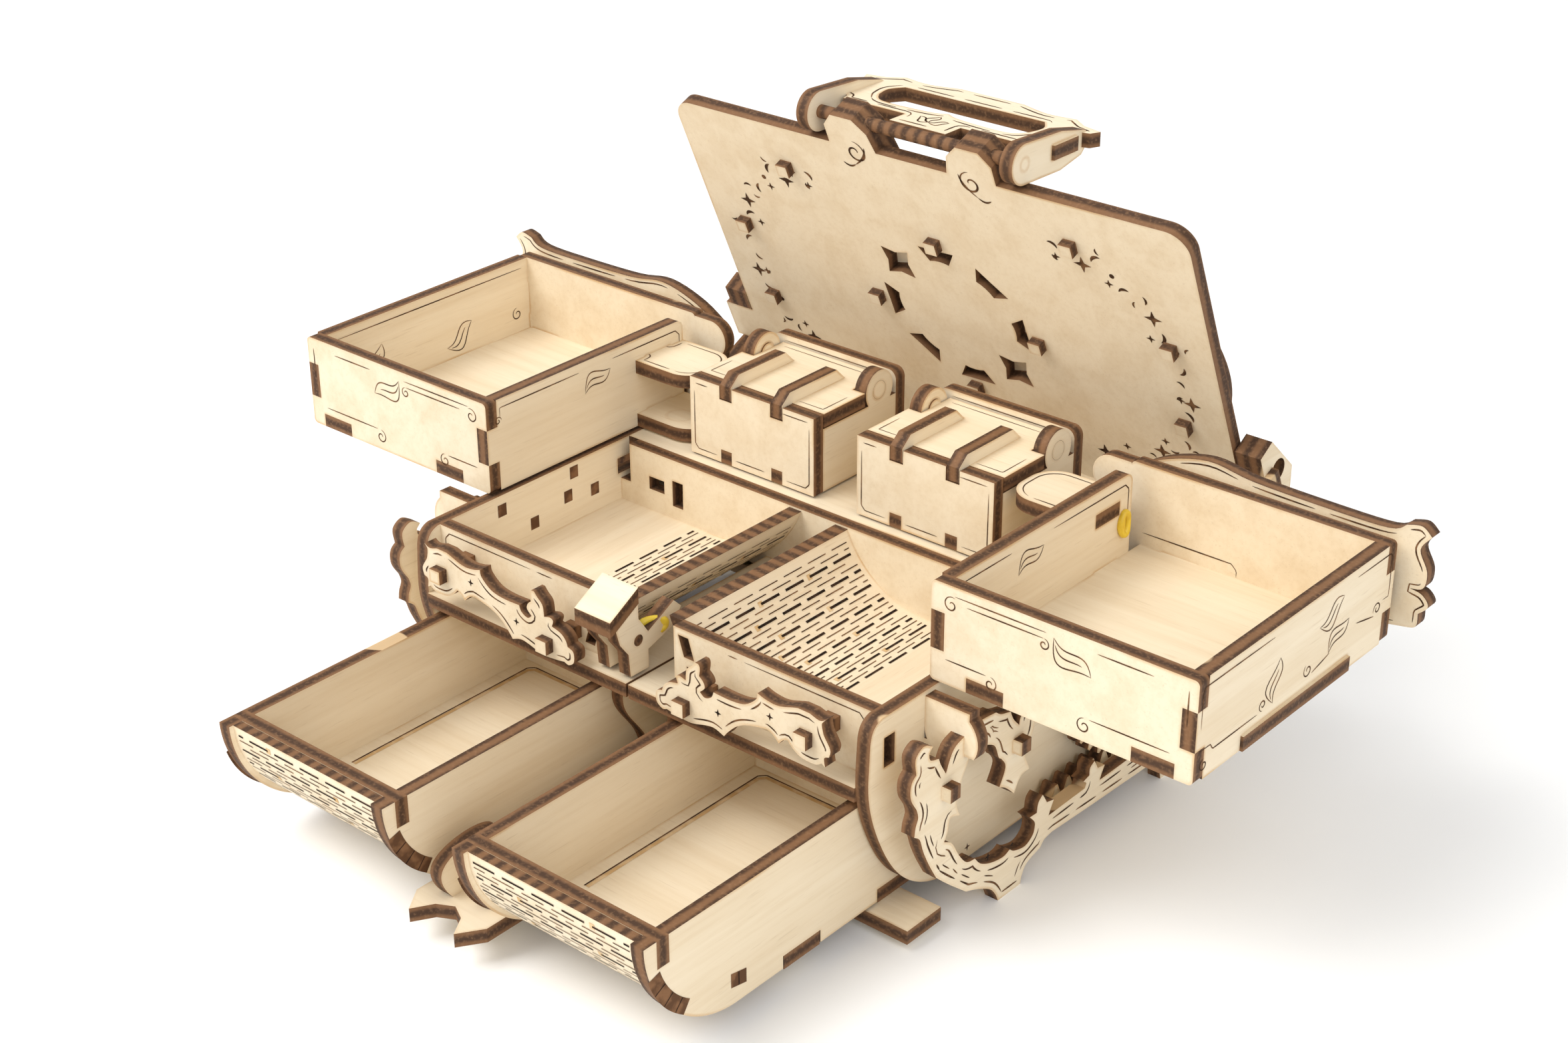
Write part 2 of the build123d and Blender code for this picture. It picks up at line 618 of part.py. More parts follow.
def drawer_pieces():
    """Right drawer: two cheeks, back and front rail, floor, bent front."""
    x0, x1 = drawer_inner, drawer_outer
    y0, y1 = drawer_front, drawer_front + drawer_length
    wing = carriage_top
    lines = [
        Spline((y0, drawer_top), (y0 + 0.4, 24.9), (y0 + 4.5, 15.4), (y0 + 11.8, 8.5), (y0 + 23.1, drawer_foot)),
        Polyline((y0 + 23.1, drawer_foot), (y1, drawer_foot), (y1, drawer_top - 4.0), (y1 - 9.0, drawer_top),
                 (y0, drawer_top)),
    ]
    outline = make_face(lines)
    recess = rect(y0 + 35.0, 0, y0 + 45.3, wing) + rect(y0 + 61.6, 0, y1 + 1.0, wing)
    cheek = outline - recess
    shoulder = rect(y0 + 3.1, drawer_top - 5.7, y0 + 6.1, drawer_top)
    cheeks = [side(cheek - shoulder, x) for x in (x0, x1 - ply)]
    # floor
    a, b = x0 + ply, x1 - ply
    floor = flat(rect(a, y0 + 22.0, b, y1 - ply), wing, drawer_floor_ply)
    # bent front between the cheeks
    band = make_face([
        Spline((y0 + 1.0, drawer_top), (y0 + 1.4, 24.9), (y0 + 5.5, 16.0), (y0 + 12.4, 9.6), (y0 + 22.0, wing - 1.6)),
        Polyline((y0 + 22.0, wing - 1.6), (y0 + 22.0, wing + 0.4)),
        Spline((y0 + 22.0, wing + 0.4), (y0 + 13.6, 11.4), (y0 + 7.3, 17.0), (y0 + 3.4, 25.2), (y0 + 3.0, drawer_top)),
        Polyline((y0 + 3.0, drawer_top), (y0 + 1.0, drawer_top)),
    ])
    skin = side(band, a, b - a)
    rail = front(rect(x0, drawer_top - 5.7, x1, drawer_top), y0 + 3.1) - skin
    back = front(rect(a, wing, b, drawer_top - 4.0), y1 - ply)
    return cheeks, [back, rail], [floor], [skin]


def carriage_plate():
    """Plate under both drawers: a long tongue with a notched tip and wings through the cheeks."""
    tip = -107.0
    half = drawer_inner + 0.2
    face = rect(-half, tip + 8.0, half, -6.0)
    for s in (-1, 1):
        face += shape((0, tip + 12.0), (s * half, tip + 12.0), (s * half, tip + 5.0), (s * 6.0, tip),
                      (s * 3.4, tip + 4.2), (0, tip + 6.0))
        for y0, y1 in ((-73.4, -63.5), (-46.8, drawer_front + drawer_length)):
            face += Pos(s * (half + drawer_outer) / 2, (y0 + y1) / 2) * Rectangle(drawer_outer - half, y1 - y0)
    face -= rect(lane_x - gap, centre_y - side_travel_room, lane_x + ply + gap, -8.6)
    return flat(face, carriage_top - ply)


def carriage_fins():
    """Two upright fins on the tongue; the left one is the rack of the drawers."""
    first = -86.0
    comb = rack(wheel_module, first, -8.9, rack_pitch_z, carriage_top, centre_y)
    nose = make_face([
        Spline((first, carriage_top), (first - 14.0, 9.0), (first - 15.5, 14.0), (first - 9.0, 17.6), (first, 16.4)),
        Polyline((first, 16.4), (first, carriage_top)),
    ])
    tall = side(comb + nose, rack_x)
    short = make_face([
        Spline((first, carriage_top), (first - 12.0, 9.0), (first - 12.5, 13.0), (first - 6.0, 14.5), (first, 12.0)),
        Polyline((first, 12.0), (first, carriage_top)),
    ])
    above = flat(rect(-10.0, -120.0, 10.0, 0), carriage_top, 20.0)
    return [tall & above, side(short, -rack_x - ply) & above]


def drive_bar():
    """Cross bar under the case with a tongue towards the front."""
    face = rect(-wheel_x - ply + 1.0, 0, wheel_x + ply - 1.0, 12.0)
    face += rect(-8.0, centre_y - 27.5, 8.0, 0)
    return flat(face, drive_z)


def drive_racks():
    """Two side racks and the centre rack."""
    last = lid_axis_y + 2.6
    comb = rack(side_module, lid_axis_y - drive_travel - 3.0, last, side_pitch_z, drive_z + ply + 1.0, lid_axis_y)
    comb += rect(0, drive_z + ply, 12.0, drive_z + ply + 1.0)
    wall = side(comb, wheel_x)
    centre = rack(pinion_module, centre_y - 27.4, centre_y + 1.8, centre_pitch_z, drive_z + ply, centre_y)
    return both(wall) + [side(centre, lane_x)]


def centre_shaft():
    """Shaft across the centre gap with the small pinion and the wheel."""
    wheel = side(Pos(centre_y, centre_z) * gear(wheel_teeth, wheel_module), rack_x)
    pinion = side(Pos(centre_y, centre_z) * gear(pinion_teeth, pinion_module), rack_x + ply, lane_x - rack_x)
    return rod(-9.0, 9.0, centre_y, centre_z) + wheel + pinion


def smooth(points, steps=5):
    """Points on a smooth curve through the given ones: each stretch is a cubic whose end slopes are half the
    way between its neighbours (Catmull-Rom)."""
    held = [points[0]] + list(points) + [points[-1]]
    result = []
    for p0, p1, p2, p3 in zip(held, held[1:], held[2:], held[3:]):
        for k in range(steps):
            t = k / steps
            weights = (-t + 2 * t * t - t ** 3, 2 - 5 * t * t + 3 * t ** 3, t + 4 * t * t - 3 * t ** 3, t ** 3 - t * t)
            result.append(tuple(sum(w * p[i] for w, p in zip(weights, (p0, p1, p2, p3))) / 2 for i in (0, 1)))
    return result


def cusped(*runs):
    """Outline of smooth runs that meet in cusps; each run starts where the one before it ends."""
    points = []
    for n, run in enumerate(runs):
        goal = runs[(n + 1) % len(runs)][0]
        full = list(run) if run[-1] == goal else list(run) + [goal]
        points += smooth(full) if len(full) > 2 else full[:1]
    face = make_face(Polyline(*points, close=True)).face()
    return face if face.normal_at().Z > 0 else -face


def side_scroll():
    """Right C-shaped ornament: hook, lobes, pierced arch, lower bar with two lilies, and feet."""
    face = cusped(
        ((-43.6, 36.8), (-45.1, 39.3), (-45.8, 41.0)), ((-45.8, 41.0), (-48.2, 41.8), (-48.6, 43.4)),
        ((-48.6, 43.4), (-47.6, 44.4)), ((-47.6, 44.4), (-50.2, 45.6), (-52.5, 44.0), (-52.2, 40.7)),
        ((-52.2, 40.7), (-53.3, 39.8), (-53.8, 38.3), (-53.5, 36.0)), ((-51.9, 33.3), (-51.4, 31.4), (-52.1, 29.6)),
        ((-52.4, 27.7), (-50.8, 26.4), (-49.7, 23.3), (-47.9, 19.5)), ((-45.7, 15.6), (-42.1, 12.3)),
        ((-36.5, 7.6), (-33.1, 6.3), (-29.0, 4.1), (-27.1, 1.9)), ((-26.2, 0.0), (-19.1, 0.0)),
        ((-19.1, 0.0), (-18.7, 1.7), (-17.2, 3.8)), ((-12.9, 5.1), (-11.7, 6.3)), ((-9.2, 6.8), (4.3, 6.2)),
        ((4.3, 6.2), (27.0, 5.4)), ((27.0, 5.4), (28.4, 2.5)), ((29.0, 0.0), (35.0, 0.0)),
        ((35.0, 0.0), (36.4, 3.4)), ((36.0, 9.0), (33.0, 10.8)), ((31.0, 10.8), (6.5, 10.8)),
        ((6.5, 10.8), (7.0, 11.9)), ((8.0, 13.6), (5.6, 14.0)), ((5.6, 14.0), (4.8, 15.4)), ((4.3, 16.2), (2.9, 15.3)),
        ((2.8, 13.7), (0.8, 13.2)), ((0.8, 13.2), (1.8, 12.4)), ((1.4, 11.4), (-10.6, 11.2)),
        ((-10.6, 11.2), (-10.1, 12.3)), ((-9.1, 14.1), (-11.4, 14.6)), ((-11.4, 14.6), (-12.2, 16.0)),
        ((-12.9, 17.0), (-14.2, 15.9)), ((-14.6, 13.8), (-16.8, 13.9)), ((-16.8, 13.9), (-15.4, 12.4)),
        ((-15.0, 11.4), (-15.6, 9.4), (-18.0, 8.1), (-21.4, 8.8)), ((-23.0, 9.9), (-25.1, 9.3), (-28.9, 10.0),
        (-32.1, 11.5)), ((-34.0, 13.6), (-36.6, 14.2), (-39.0, 17.0), (-41.2, 20.7)),
        ((-43.6, 22.2), (-42.6, 24.0), (-41.9, 26.6)), ((-39.1, 25.7), (-40.2, 28.8), (-39.2, 32.5), (-37.0, 36.2)),
        ((-34.9, 38.6), (-32.4, 38.4)), ((-31.5, 37.1), (-29.0, 35.6), (-27.7, 32.6)),
        ((-26.9, 31.9), (-25.4, 29.4), (-27.1, 25.8)), ((-27.1, 25.8), (-24.9, 24.5)), ((-22.4, 22.1), (-20.4, 25.0)),
        ((-17.8, 25.3), (-19.3, 28.6)), ((-19.7, 30.3), (-17.2, 33.0), (-16.6, 37.0)), ((-17.6, 40.2), (-21.0, 38.4)),
        ((-21.6, 36.6), (-23.4, 38.6), (-24.5, 40.8)), ((-24.5, 40.8), (-27.4, 41.6), (-29.0, 42.7)),
        ((-29.0, 42.7), (-31.3, 43.0), (-34.9, 43.3)), ((-34.9, 43.3), (-38.0, 42.2), (-41.5, 40.8)),
    )
    for y, z in ((-43.2, 33.2), (-21.8, 32.8)):
        face -= peg(y, z)
    return side(face, scroll_x)


def scroll_bracket():
    """Quarter-round bracket through the side scroll and tabbed into the side plate."""
    face = rect(outer, 41.0, outer + 10.0, 47.0) + Pos(outer + 6.0, 41.0) * Circle(6.0)
    face &= rect(outer, 38.0, outer + 12.0, 47.0)
    face += rect(outer, 34.0, scroll_x, 38.2)
    return front(face, bracket_y)


def front_scroll():
    """Ornament in front of the right front wall: round end by the side plate, waist, hook and curled end."""
    face = cusped(
        ((52.1, 48.3), (50.5, 47.6), (46.7, 48.4), (41.3, 46.9), (38.2, 47.0)),
        ((36.1, 47.6), (35.7, 46.1), (33.1, 44.1), (29.6, 43.5)),
        ((25.4, 43.6), (24.8, 42.3), (23.2, 41.6), (22.0, 42.4)), ((22.0, 42.4), (23.2, 43.6), (22.9, 44.8)),
        ((21.9, 45.7), (22.1, 47.6)), ((21.3, 48.6), (20.2, 47.3), (18.8, 45.9)),
        ((18.5, 43.5), (16.9, 43.9), (16.1, 43.4)), ((16.5, 42.1), (14.2, 41.5), (12.9, 40.4)),
        ((12.4, 39.1), (10.9, 38.4), (10.9, 36.2), (12.3, 35.1)), ((13.5, 35.4), (16.1, 35.0), (19.6, 34.8),
        (23.1, 35.7), (25.4, 36.0)), ((27.8, 35.2), (28.9, 36.6), (31.2, 38.7), (34.1, 40.0)),
        ((38.3, 40.9), (39.7, 40.3)), ((41.1, 39.0), (42.0, 40.0)), ((43.1, 40.6), (44.5, 39.2), (46.5, 38.2),
        (49.6, 38.1)), ((51.1, 38.9), (51.9, 38.4)), ((51.9, 38.4), (51.7, 40.2)),
        ((52.8, 40.8), (53.1, 42.5), (51.7, 44.8)), ((51.3, 46.0), (51.2, 47.2)),
    )
    face &= rect(0, 0, case_half, rim_z + 0.2)
    return front(face, front_scroll_y)


def side_spacers():
    """Square pegs between the side scrolls and the side plates."""
    parts = []
    for y, z in ((-43.2, 33.2), (-21.8, 32.8)):
        parts += both(side(peg(y, z), outer, scroll_x + ply + 2.0 - outer))
    return parts


def foot_bars():
    """Bars under the side plates, in front and at the back, tied to the side scrolls."""
    low = flat(rect(-scroll_x, -50.0, scroll_x, -40.0), belly_z - ply)
    rear = flat(rect(-outer, 37.0, outer, 48.0), belly_z - ply)
    return [low, rear]


def front_pegs():
    """Square pegs of the right front scroll."""
    return [front(peg(x, z), front_scroll_y - 2.0, case_front - front_scroll_y + 2.0)
            for x, z in ((47.5, 42.9), (17.9, 37.9))]


def latch_pieces():
    """Latch at the inner end of the left front wall: two cheeks, a sloped cap, a pin and a rear lever."""
    y, z = case_front - 0.8, rim_z - 6.0
    cheek = shape((y + 2.6, z - 7.0), (y + 2.6, z + 1.0), (y + 0.2, z + 4.6), (y + 0.2, z + 8.0), (y - 6.0, z + 4.5),
                  (y - 5.0, z + 1.0), (y - 2.8, z - 2.0), (y - 2.4, z - 7.0))
    lever = shape((y + 2.6, z - 3.0), (y + 9.0, z - 1.0), (y + 12.0, z + 2.5), (y + 10.0, z + 4.5), (y + 2.6, z + 0.8))
    hole = disc(y, z, latch_pin_radius)
    x0, x1 = latch_cheeks
    cheeks = [side(cheek - hole, x0), side(cheek + lever - hole, x1)]
    slope = shape((y + 0.2, z + 8.0), (y + 0.2, z + 11.4), (y - 7.6, z + 7.0), (y - 7.6, z + 3.6))
    cap = side(slope, x0 - 0.6, x1 + ply - x0 + 0.8)
    return cheeks, [cap], rod(x0, x1 + ply, y, z, latch_pin_radius)


def build():
    """Build every piece and write one file for each node."""
    os.makedirs("parts", exist_ok=True)
    right = side_plate()
    wall = front_wall()
    write("side_plate_right", right)
    write("side_plate_left", mirrored(right))
    write("front_wall_right", wall)
    write("front_wall_left", mirrored(wall - Pos(latch_room, case_front, rim_z) * Box(2 * ply, 4 * ply, 2 * rim_z)))
    write("front_shelf", *both(shelf()))
    write("bent_floor_right", bent_floor())
    write("bent_floor_left", mirrored(bent_floor()))
    write("cross_walls", cross_wall(), rear_wall())
    bearing = rect(41.0, cross_y + ply, case_half, 20.0) - disc(tray_axis_x, tray_axis_y, post_radius + pin_clearance)
    write("deck", deck(), *both(flat(bearing, floor_z - ply)))
    bracket = scroll_bracket()
    scroll = side_scroll() - bracket
    write("side_scroll_right", scroll)
    write("side_scroll_left", mirrored(scroll))
    write("scroll_brackets", *both(bracket))
    write("front_scrolls", *both(front_scroll() - Compound(children=front_pegs())))
    write("scroll_pegs", *[mirrored(p) for p in front_pegs()], *front_pegs(), *side_spacers())
    write("foot_bars", *foot_bars())
    write("gear_brackets", *both(gear_bracket(5.9)))
    write("box_front_right", box_front_plate())
    write("box_front_left", mirrored(box_front_plate()))
    half = box_width / 2
    cheeks = [box_cheek(box_x - half), box_cheek(box_x + half - ply)]
    write("box_cheeks_right", *cheeks)
    write("box_cheeks_left", *[mirrored(c) for c in cheeks])
    write("box_floors", *both(box_floor()))
    write("box_backs", *both(box_back()))
    lid_right = small_lid_plate()
    ribs = [small_rib(box_x - rib_x), small_rib(box_x + rib_x), *small_pins()]
    write("small_lid_right", lid_right)
    write("small_lid_left", mirrored(lid_right))
    write("small_ribs_right", *ribs)
    write("small_ribs_left", *[mirrored(r) for r in ribs])
    write("lid_panel", lid_panel())
    write("lid_overlays", *lid_overlays())
    write("lid_pegs", *lid_pegs())
    arm, wheel = lid_arm(), side_wheel()
    write("lid_arm_right", arm, wheel)
    write("lid_arm_left", mirrored(arm), mirrored(wheel))
    write("lid_shaft", *lid_shaft())
    write("handle_grip", handle_grip())
    write("handle_cheeks", *both(handle_cheek(handle_half - ply)), handle_pin())
    names = ("end_walls", "side_walls", "floor", "ornament", "post")
    for name, solids in zip(names, tray_pieces()):
        write(f"tray_{name}_right", *solids)
        write(f"tray_{name}_left", *[mirrored(item) for item in solids])
    slider = tray_slider()
    write("tray_slider_right", slider)
    write("tray_slider_left", mirrored(slider))
    cheeks, ends, floors, skins = drawer_pieces()
    plate = carriage_plate()
    write("drawer_cheeks_right", *[c - plate for c in cheeks])
    write("drawer_cheeks_left", *[mirrored(c - plate) for c in cheeks])
    write("drawer_ends_right", *ends)
    write("drawer_ends_left", *[mirrored(e) for e in ends])
    write("drawer_floors", *floors, *[mirrored(f) for f in floors])
    write("drawer_skin_right", *skins)
    write("drawer_skin_left", *[mirrored(f) for f in skins])
    write("carriage_plate", plate)
    write("carriage_fins", *carriage_fins())
    write("drive_bar", drive_bar())
    write("drive_racks", *drive_racks())
    write("centre_shaft", centre_shaft())
    latch, cap, pin = latch_pieces()
    write("latch_cheeks", *latch)
    write("latch_cap", *cap, pin)


build()
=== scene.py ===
import bpy
import math
import mathutils
import numpy as np
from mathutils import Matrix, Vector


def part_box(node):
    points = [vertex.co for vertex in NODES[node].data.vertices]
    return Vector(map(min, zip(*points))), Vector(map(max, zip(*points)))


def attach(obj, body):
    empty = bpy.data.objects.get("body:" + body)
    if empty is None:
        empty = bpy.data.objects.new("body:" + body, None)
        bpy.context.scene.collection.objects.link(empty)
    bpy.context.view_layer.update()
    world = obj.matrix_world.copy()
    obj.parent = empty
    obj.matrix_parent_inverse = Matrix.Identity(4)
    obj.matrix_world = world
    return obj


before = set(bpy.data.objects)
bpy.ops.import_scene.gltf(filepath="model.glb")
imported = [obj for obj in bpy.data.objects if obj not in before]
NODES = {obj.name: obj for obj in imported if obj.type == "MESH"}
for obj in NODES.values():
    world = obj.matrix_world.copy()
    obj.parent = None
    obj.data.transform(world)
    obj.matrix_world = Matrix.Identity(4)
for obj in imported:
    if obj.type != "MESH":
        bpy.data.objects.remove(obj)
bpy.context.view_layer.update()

# Flat plates: 3 mm birch ply, cut by laser and fixed by tabs and pegs. Faces are pale birch; cut edges are
# burnt dark with a few pale bridges. The plate's own axis says which of its faces are birch.
FACE_PALE = (0.815, 0.695, 0.515, 1.0)
FACE_DEEP = (0.725, 0.585, 0.400, 1.0)
CLOUD_PALE = (0.86, 0.74, 0.56, 1.0)
PORE_BROWN = (0.46, 0.32, 0.18, 1.0)
SCORCH_BROWN = (0.56, 0.34, 0.14, 1.0)
STREAK_BROWN = (0.27, 0.145, 0.070, 1.0)
EDGE_DARK = (0.060, 0.028, 0.013, 1.0)
EDGE_WARM = (0.19, 0.092, 0.040, 1.0)
BRIDGE = (0.62, 0.44, 0.25, 1.0)
SHEET = 0.003
SCORCH_REACH = 0.0011
GRAIN_ALONG_X = (0.05, 1.0, 1.0)
GRAIN_ALONG_Y = (1.0, 0.05, 1.0)
LEAN = math.radians(23.8)
LID_AXIS = (0.0, math.cos(LEAN), math.sin(LEAN))


def new_group(name, inputs, outputs):
    """Empty shader group with the given sockets: name, kind and default of each."""
    group = bpy.data.node_groups.new(name, "ShaderNodeTree")
    for label, kind, value in inputs:
        socket = group.interface.new_socket(label, in_out="INPUT", socket_type=kind)
        if value is not None:
            socket.default_value = value
    for label, kind in outputs:
        group.interface.new_socket(label, in_out="OUTPUT", socket_type=kind)
    return group, group.nodes.new("NodeGroupInput"), group.nodes.new("NodeGroupOutput")


def add(tree, kind, links=(), **settings):
    """A shader node with its settings, and its inputs linked or set by name or number."""
    node = tree.nodes.new(kind)
    for key, value in settings.items():
        setattr(node, key, value)
    for key, source in links:
        if isinstance(source, bpy.types.NodeSocket):
            tree.links.new(source, node.inputs[key])
        else:
            node.inputs[key].default_value = source
    return node


def mix(tree, factor, first, second):
    """Colour between first and second by factor."""
    node = tree.nodes.new("ShaderNodeMix")
    node.data_type = "RGBA"
    for key, source in ((0, factor), (6, first), (7, second)):
        if isinstance(source, bpy.types.NodeSocket):
            tree.links.new(source, node.inputs[key])
        else:
            node.inputs[key].default_value = source
    return node.outputs[2]


def maths(tree, operation, first, second=0.0):
    """One arithmetic step, clamped to nothing."""
    node = tree.nodes.new("ShaderNodeMath")
    node.operation = operation
    for key, source in ((0, first), (1, second)):
        if isinstance(source, bpy.types.NodeSocket):
            tree.links.new(source, node.inputs[key])
        else:
            node.inputs[key].default_value = source
    return node.outputs[0]


def band(tree, source, low, high):
    """0 below low, 1 above high, smooth between."""
    node = tree.nodes.new("ShaderNodeMapRange")
    node.interpolation_type = "SMOOTHSTEP"
    tree.links.new(source, node.inputs[0])
    node.inputs[1].default_value = low
    node.inputs[2].default_value = high
    return node.outputs[0]


def noise(tree, vector, scale, detail, **more):
    """Cloudy noise between 0 and 1 at a scale, with as many octaves as detail; more sets its other inputs."""
    extra = tuple((key.capitalize(), value) for key, value in more.items())
    links = (("Vector", vector), ("Scale", scale), ("Detail", detail)) + extra
    return add(tree, "ShaderNodeTexNoise", links).outputs[0]


def dot(tree, first, second):
    """How far two directions agree: 1 along each other, 0 across, -1 opposite."""
    node = add(tree, "ShaderNodeVectorMath", ((0, first), (1, second)), operation="DOT_PRODUCT")
    return node.outputs["Value"]


def birch_group():
    """Pale rotary-cut birch: faint long streaks along a grain axis, soft clouds, pores and darker flecks."""
    group, gin, gout = new_group(
        "birch", [("Vector", "NodeSocketVector", None), ("Grain", "NodeSocketVector", (1.0, 0.08, 1.0))],
        [("Color", "NodeSocketColor"), ("Height", "NodeSocketFloat"), ("Rough", "NodeSocketFloat")])
    stretch = add(group, "ShaderNodeVectorMath", ((0, gin.outputs[0]), (1, gin.outputs[1])),
                  operation="MULTIPLY").outputs[0]
    streaks = noise(group, stretch, 900.0, 5.0, roughness=0.62)
    broad = noise(group, stretch, 150.0, 3.0, distortion=0.35)
    clouds = noise(group, gin.outputs[0], 38.0, 2.0)
    pores = noise(group, stretch, 2600.0, 2.0)
    tone = maths(group, "ADD", maths(group, "MULTIPLY", band(group, broad, 0.36, 0.70), 0.62),
                 maths(group, "MULTIPLY", band(group, streaks, 0.40, 0.72), 0.38))
    colour = mix(group, tone, FACE_PALE, FACE_DEEP)
    colour = mix(group, maths(group, "MULTIPLY", band(group, clouds, 0.42, 0.75), 0.14), colour, CLOUD_PALE)
    colour = mix(group, maths(group, "MULTIPLY", band(group, pores, 0.63, 0.74), 0.22), colour, PORE_BROWN)
    group.links.new(colour, gout.inputs[0])
    group.links.new(maths(group, "ADD", streaks, pores), gout.inputs[1])
    group.links.new(maths(group, "ADD", maths(group, "MULTIPLY", tone, 0.16), 0.56), gout.inputs[2])
    return group


def burnt_group():
    """Laser-cut edge: nearly black glue core, brown outer plies, fine burn streaks and a few pale nicks."""
    group, gin, gout = new_group(
        "burnt_edge", [("Vector", "NodeSocketVector", None), ("Depth", "NodeSocketFloat", 0.5)],
        [("Color", "NodeSocketColor"), ("Height", "NodeSocketFloat")])
    place = gin.outputs[0]
    core = maths(group, "ABSOLUTE", maths(group, "SUBTRACT", gin.outputs[1], 0.5))
    wobble = noise(group, place, 260.0, 4.0)
    streak = noise(group, place, 1500.0, 3.0)
    uneven = maths(group, "MULTIPLY", maths(group, "SUBTRACT", wobble, 0.5), 0.25)
    shifted = maths(group, "ADD", core, uneven)
    colour = mix(group, band(group, shifted, 0.10, 0.40), EDGE_DARK, EDGE_WARM)
    colour = mix(group, maths(group, "MULTIPLY", band(group, streak, 0.45, 0.8), 0.5), colour, STREAK_BROWN)
    pale = band(group, noise(group, place, 48.0, 0.0), 0.762, 0.772)
    colour = mix(group, maths(group, "MULTIPLY", pale, 0.9), colour, BRIDGE)
    group.links.new(colour, gout.inputs[0])
    group.links.new(maths(group, "ADD", wobble, streak), gout.inputs[1])
    return group


BIRCH = birch_group()
BURNT = burnt_group()


def ply_material(name, axis, low=0.0, tint=(1.0, 1.0, 1.0), cap=None):
    """Plywood for a plate whose faces look along axis: birch where the normal follows it, burnt edge elsewhere.

    With cap, the plate is bent: axis runs along its cut sides instead, and all above cap is its top edge.
    """
    mat = bpy.data.materials.new(name)
    mat.use_nodes = True
    tree = mat.node_tree
    shader = tree.nodes["Principled BSDF"]
    coords = add(tree, "ShaderNodeTexCoord")
    place = coords.outputs["Object"]
    facing = maths(tree, "ABSOLUTE", dot(tree, coords.outputs["Normal"], axis))
    edge = maths(tree, "SUBTRACT", 1.0, band(tree, facing, 0.55, 0.75))
    if cap is not None:
        height_of = add(tree, "ShaderNodeSeparateXYZ", ((0, place),)).outputs[2]
        above = maths(tree, "GREATER_THAN", height_of, cap)
        edge = maths(tree, "MAXIMUM", maths(tree, "SUBTRACT", 1.0, edge), above)
    sheets = maths(tree, "DIVIDE", maths(tree, "SUBTRACT", dot(tree, place, axis), low), SHEET)
    depth = maths(tree, "FRACT", sheets)
    face = add(tree, "ShaderNodeGroup", node_tree=BIRCH)
    tree.links.new(place, face.inputs[0])
    face.inputs[1].default_value = GRAIN_ALONG_Y if abs(axis[2]) < 0.5 else GRAIN_ALONG_X
    cut = add(tree, "ShaderNodeGroup", node_tree=BURNT)
    tree.links.new(place, cut.inputs[0])
    tree.links.new(depth, cut.inputs[1])
    rim = add(tree, "ShaderNodeBevel", (("Radius", SCORCH_REACH),), samples=6)
    turned = dot(tree, rim.outputs[0], add(tree, "ShaderNodeNewGeometry").outputs["Normal"])
    near = band(tree, turned, 0.9995, 0.93)
    patch = maths(tree, "MULTIPLY", band(tree, noise(tree, place, 55.0, 2.0), 0.42, 0.70), 0.75)
    scorch = maths(tree, "MULTIPLY", near, maths(tree, "ADD", patch, 0.18))
    birch = mix(tree, 1.0, face.outputs[0], (*tint, 1.0))
    tree.nodes[-1].blend_type = "MULTIPLY"
    warm = mix(tree, scorch, birch, SCORCH_BROWN)
    tree.links.new(mix(tree, edge, warm, cut.outputs[0]), shader.inputs["Base Color"])
    rough = maths(tree, "ADD", face.outputs[2], maths(tree, "MULTIPLY", edge, 0.12))
    tree.links.new(rough, shader.inputs["Roughness"])
    shader.inputs["Specular IOR Level"].default_value = 0.32
    height = maths(tree, "ADD", maths(tree, "MULTIPLY", face.outputs[1], 0.4),
                   maths(tree, "MULTIPLY", cut.outputs[1], edge))
    bump = add(tree, "ShaderNodeBump", (("Height", height), ("Strength", 0.16), ("Distance", 0.0002)))
    tree.links.new(bump.outputs[0], shader.inputs["Normal"])
    return mat


def finish(node, material):
    """Give a CAD node this material and no other."""
    NODES[node].data.materials.clear()
    NODES[node].data.materials.append(material)


X_AXIS, Y_AXIS, Z_AXIS = (1.0, 0.0, 0.0), (0.0, 1.0, 0.0), (0.0, 0.0, 1.0)


def pair(*names):
    """Left and right node of each name."""
    return [f"{name}_{hand}" for name in names for hand in ("left", "right")]


PLATES = (
    (X_AXIS, pair("side_plate", "side_scroll") + ["gear_brackets"]
     + pair("box_cheeks", "small_ribs", "lid_arm") + ["handle_cheeks"]
     + pair("tray_side_walls", "drawer_cheeks")
     + ["carriage_fins", "drive_racks", "latch_cheeks", "centre_shaft", "lid_shaft"]),
    (Y_AXIS, pair("front_wall") + ["cross_walls", "scroll_brackets", "front_scrolls"] + pair("box_front")
     + ["box_backs"] + pair("tray_end_walls", "tray_ornament", "drawer_ends") + ["scroll_pegs"]),
    (Z_AXIS, ["front_shelf", "deck", "foot_bars", "box_floors"] + pair("small_lid") + ["handle_grip"]
     + pair("tray_floor", "tray_slider") + ["drawer_floors", "carriage_plate", "drive_bar"]
     + pair("tray_post")),
    (LID_AXIS, ["lid_panel", "lid_overlays", "lid_pegs"]),
)
for axis, names in PLATES:
    for name in names:
        base = 0.0 if axis == LID_AXIS else float(np.dot(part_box(name)[0], axis))
        tint = 1.0 - 0.05 * ((len(name) * 7 + ord(name[0])) % 5) / 4
        finish(name, ply_material(f"{name}_ply", axis, base, (tint, tint, tint * 0.99)))

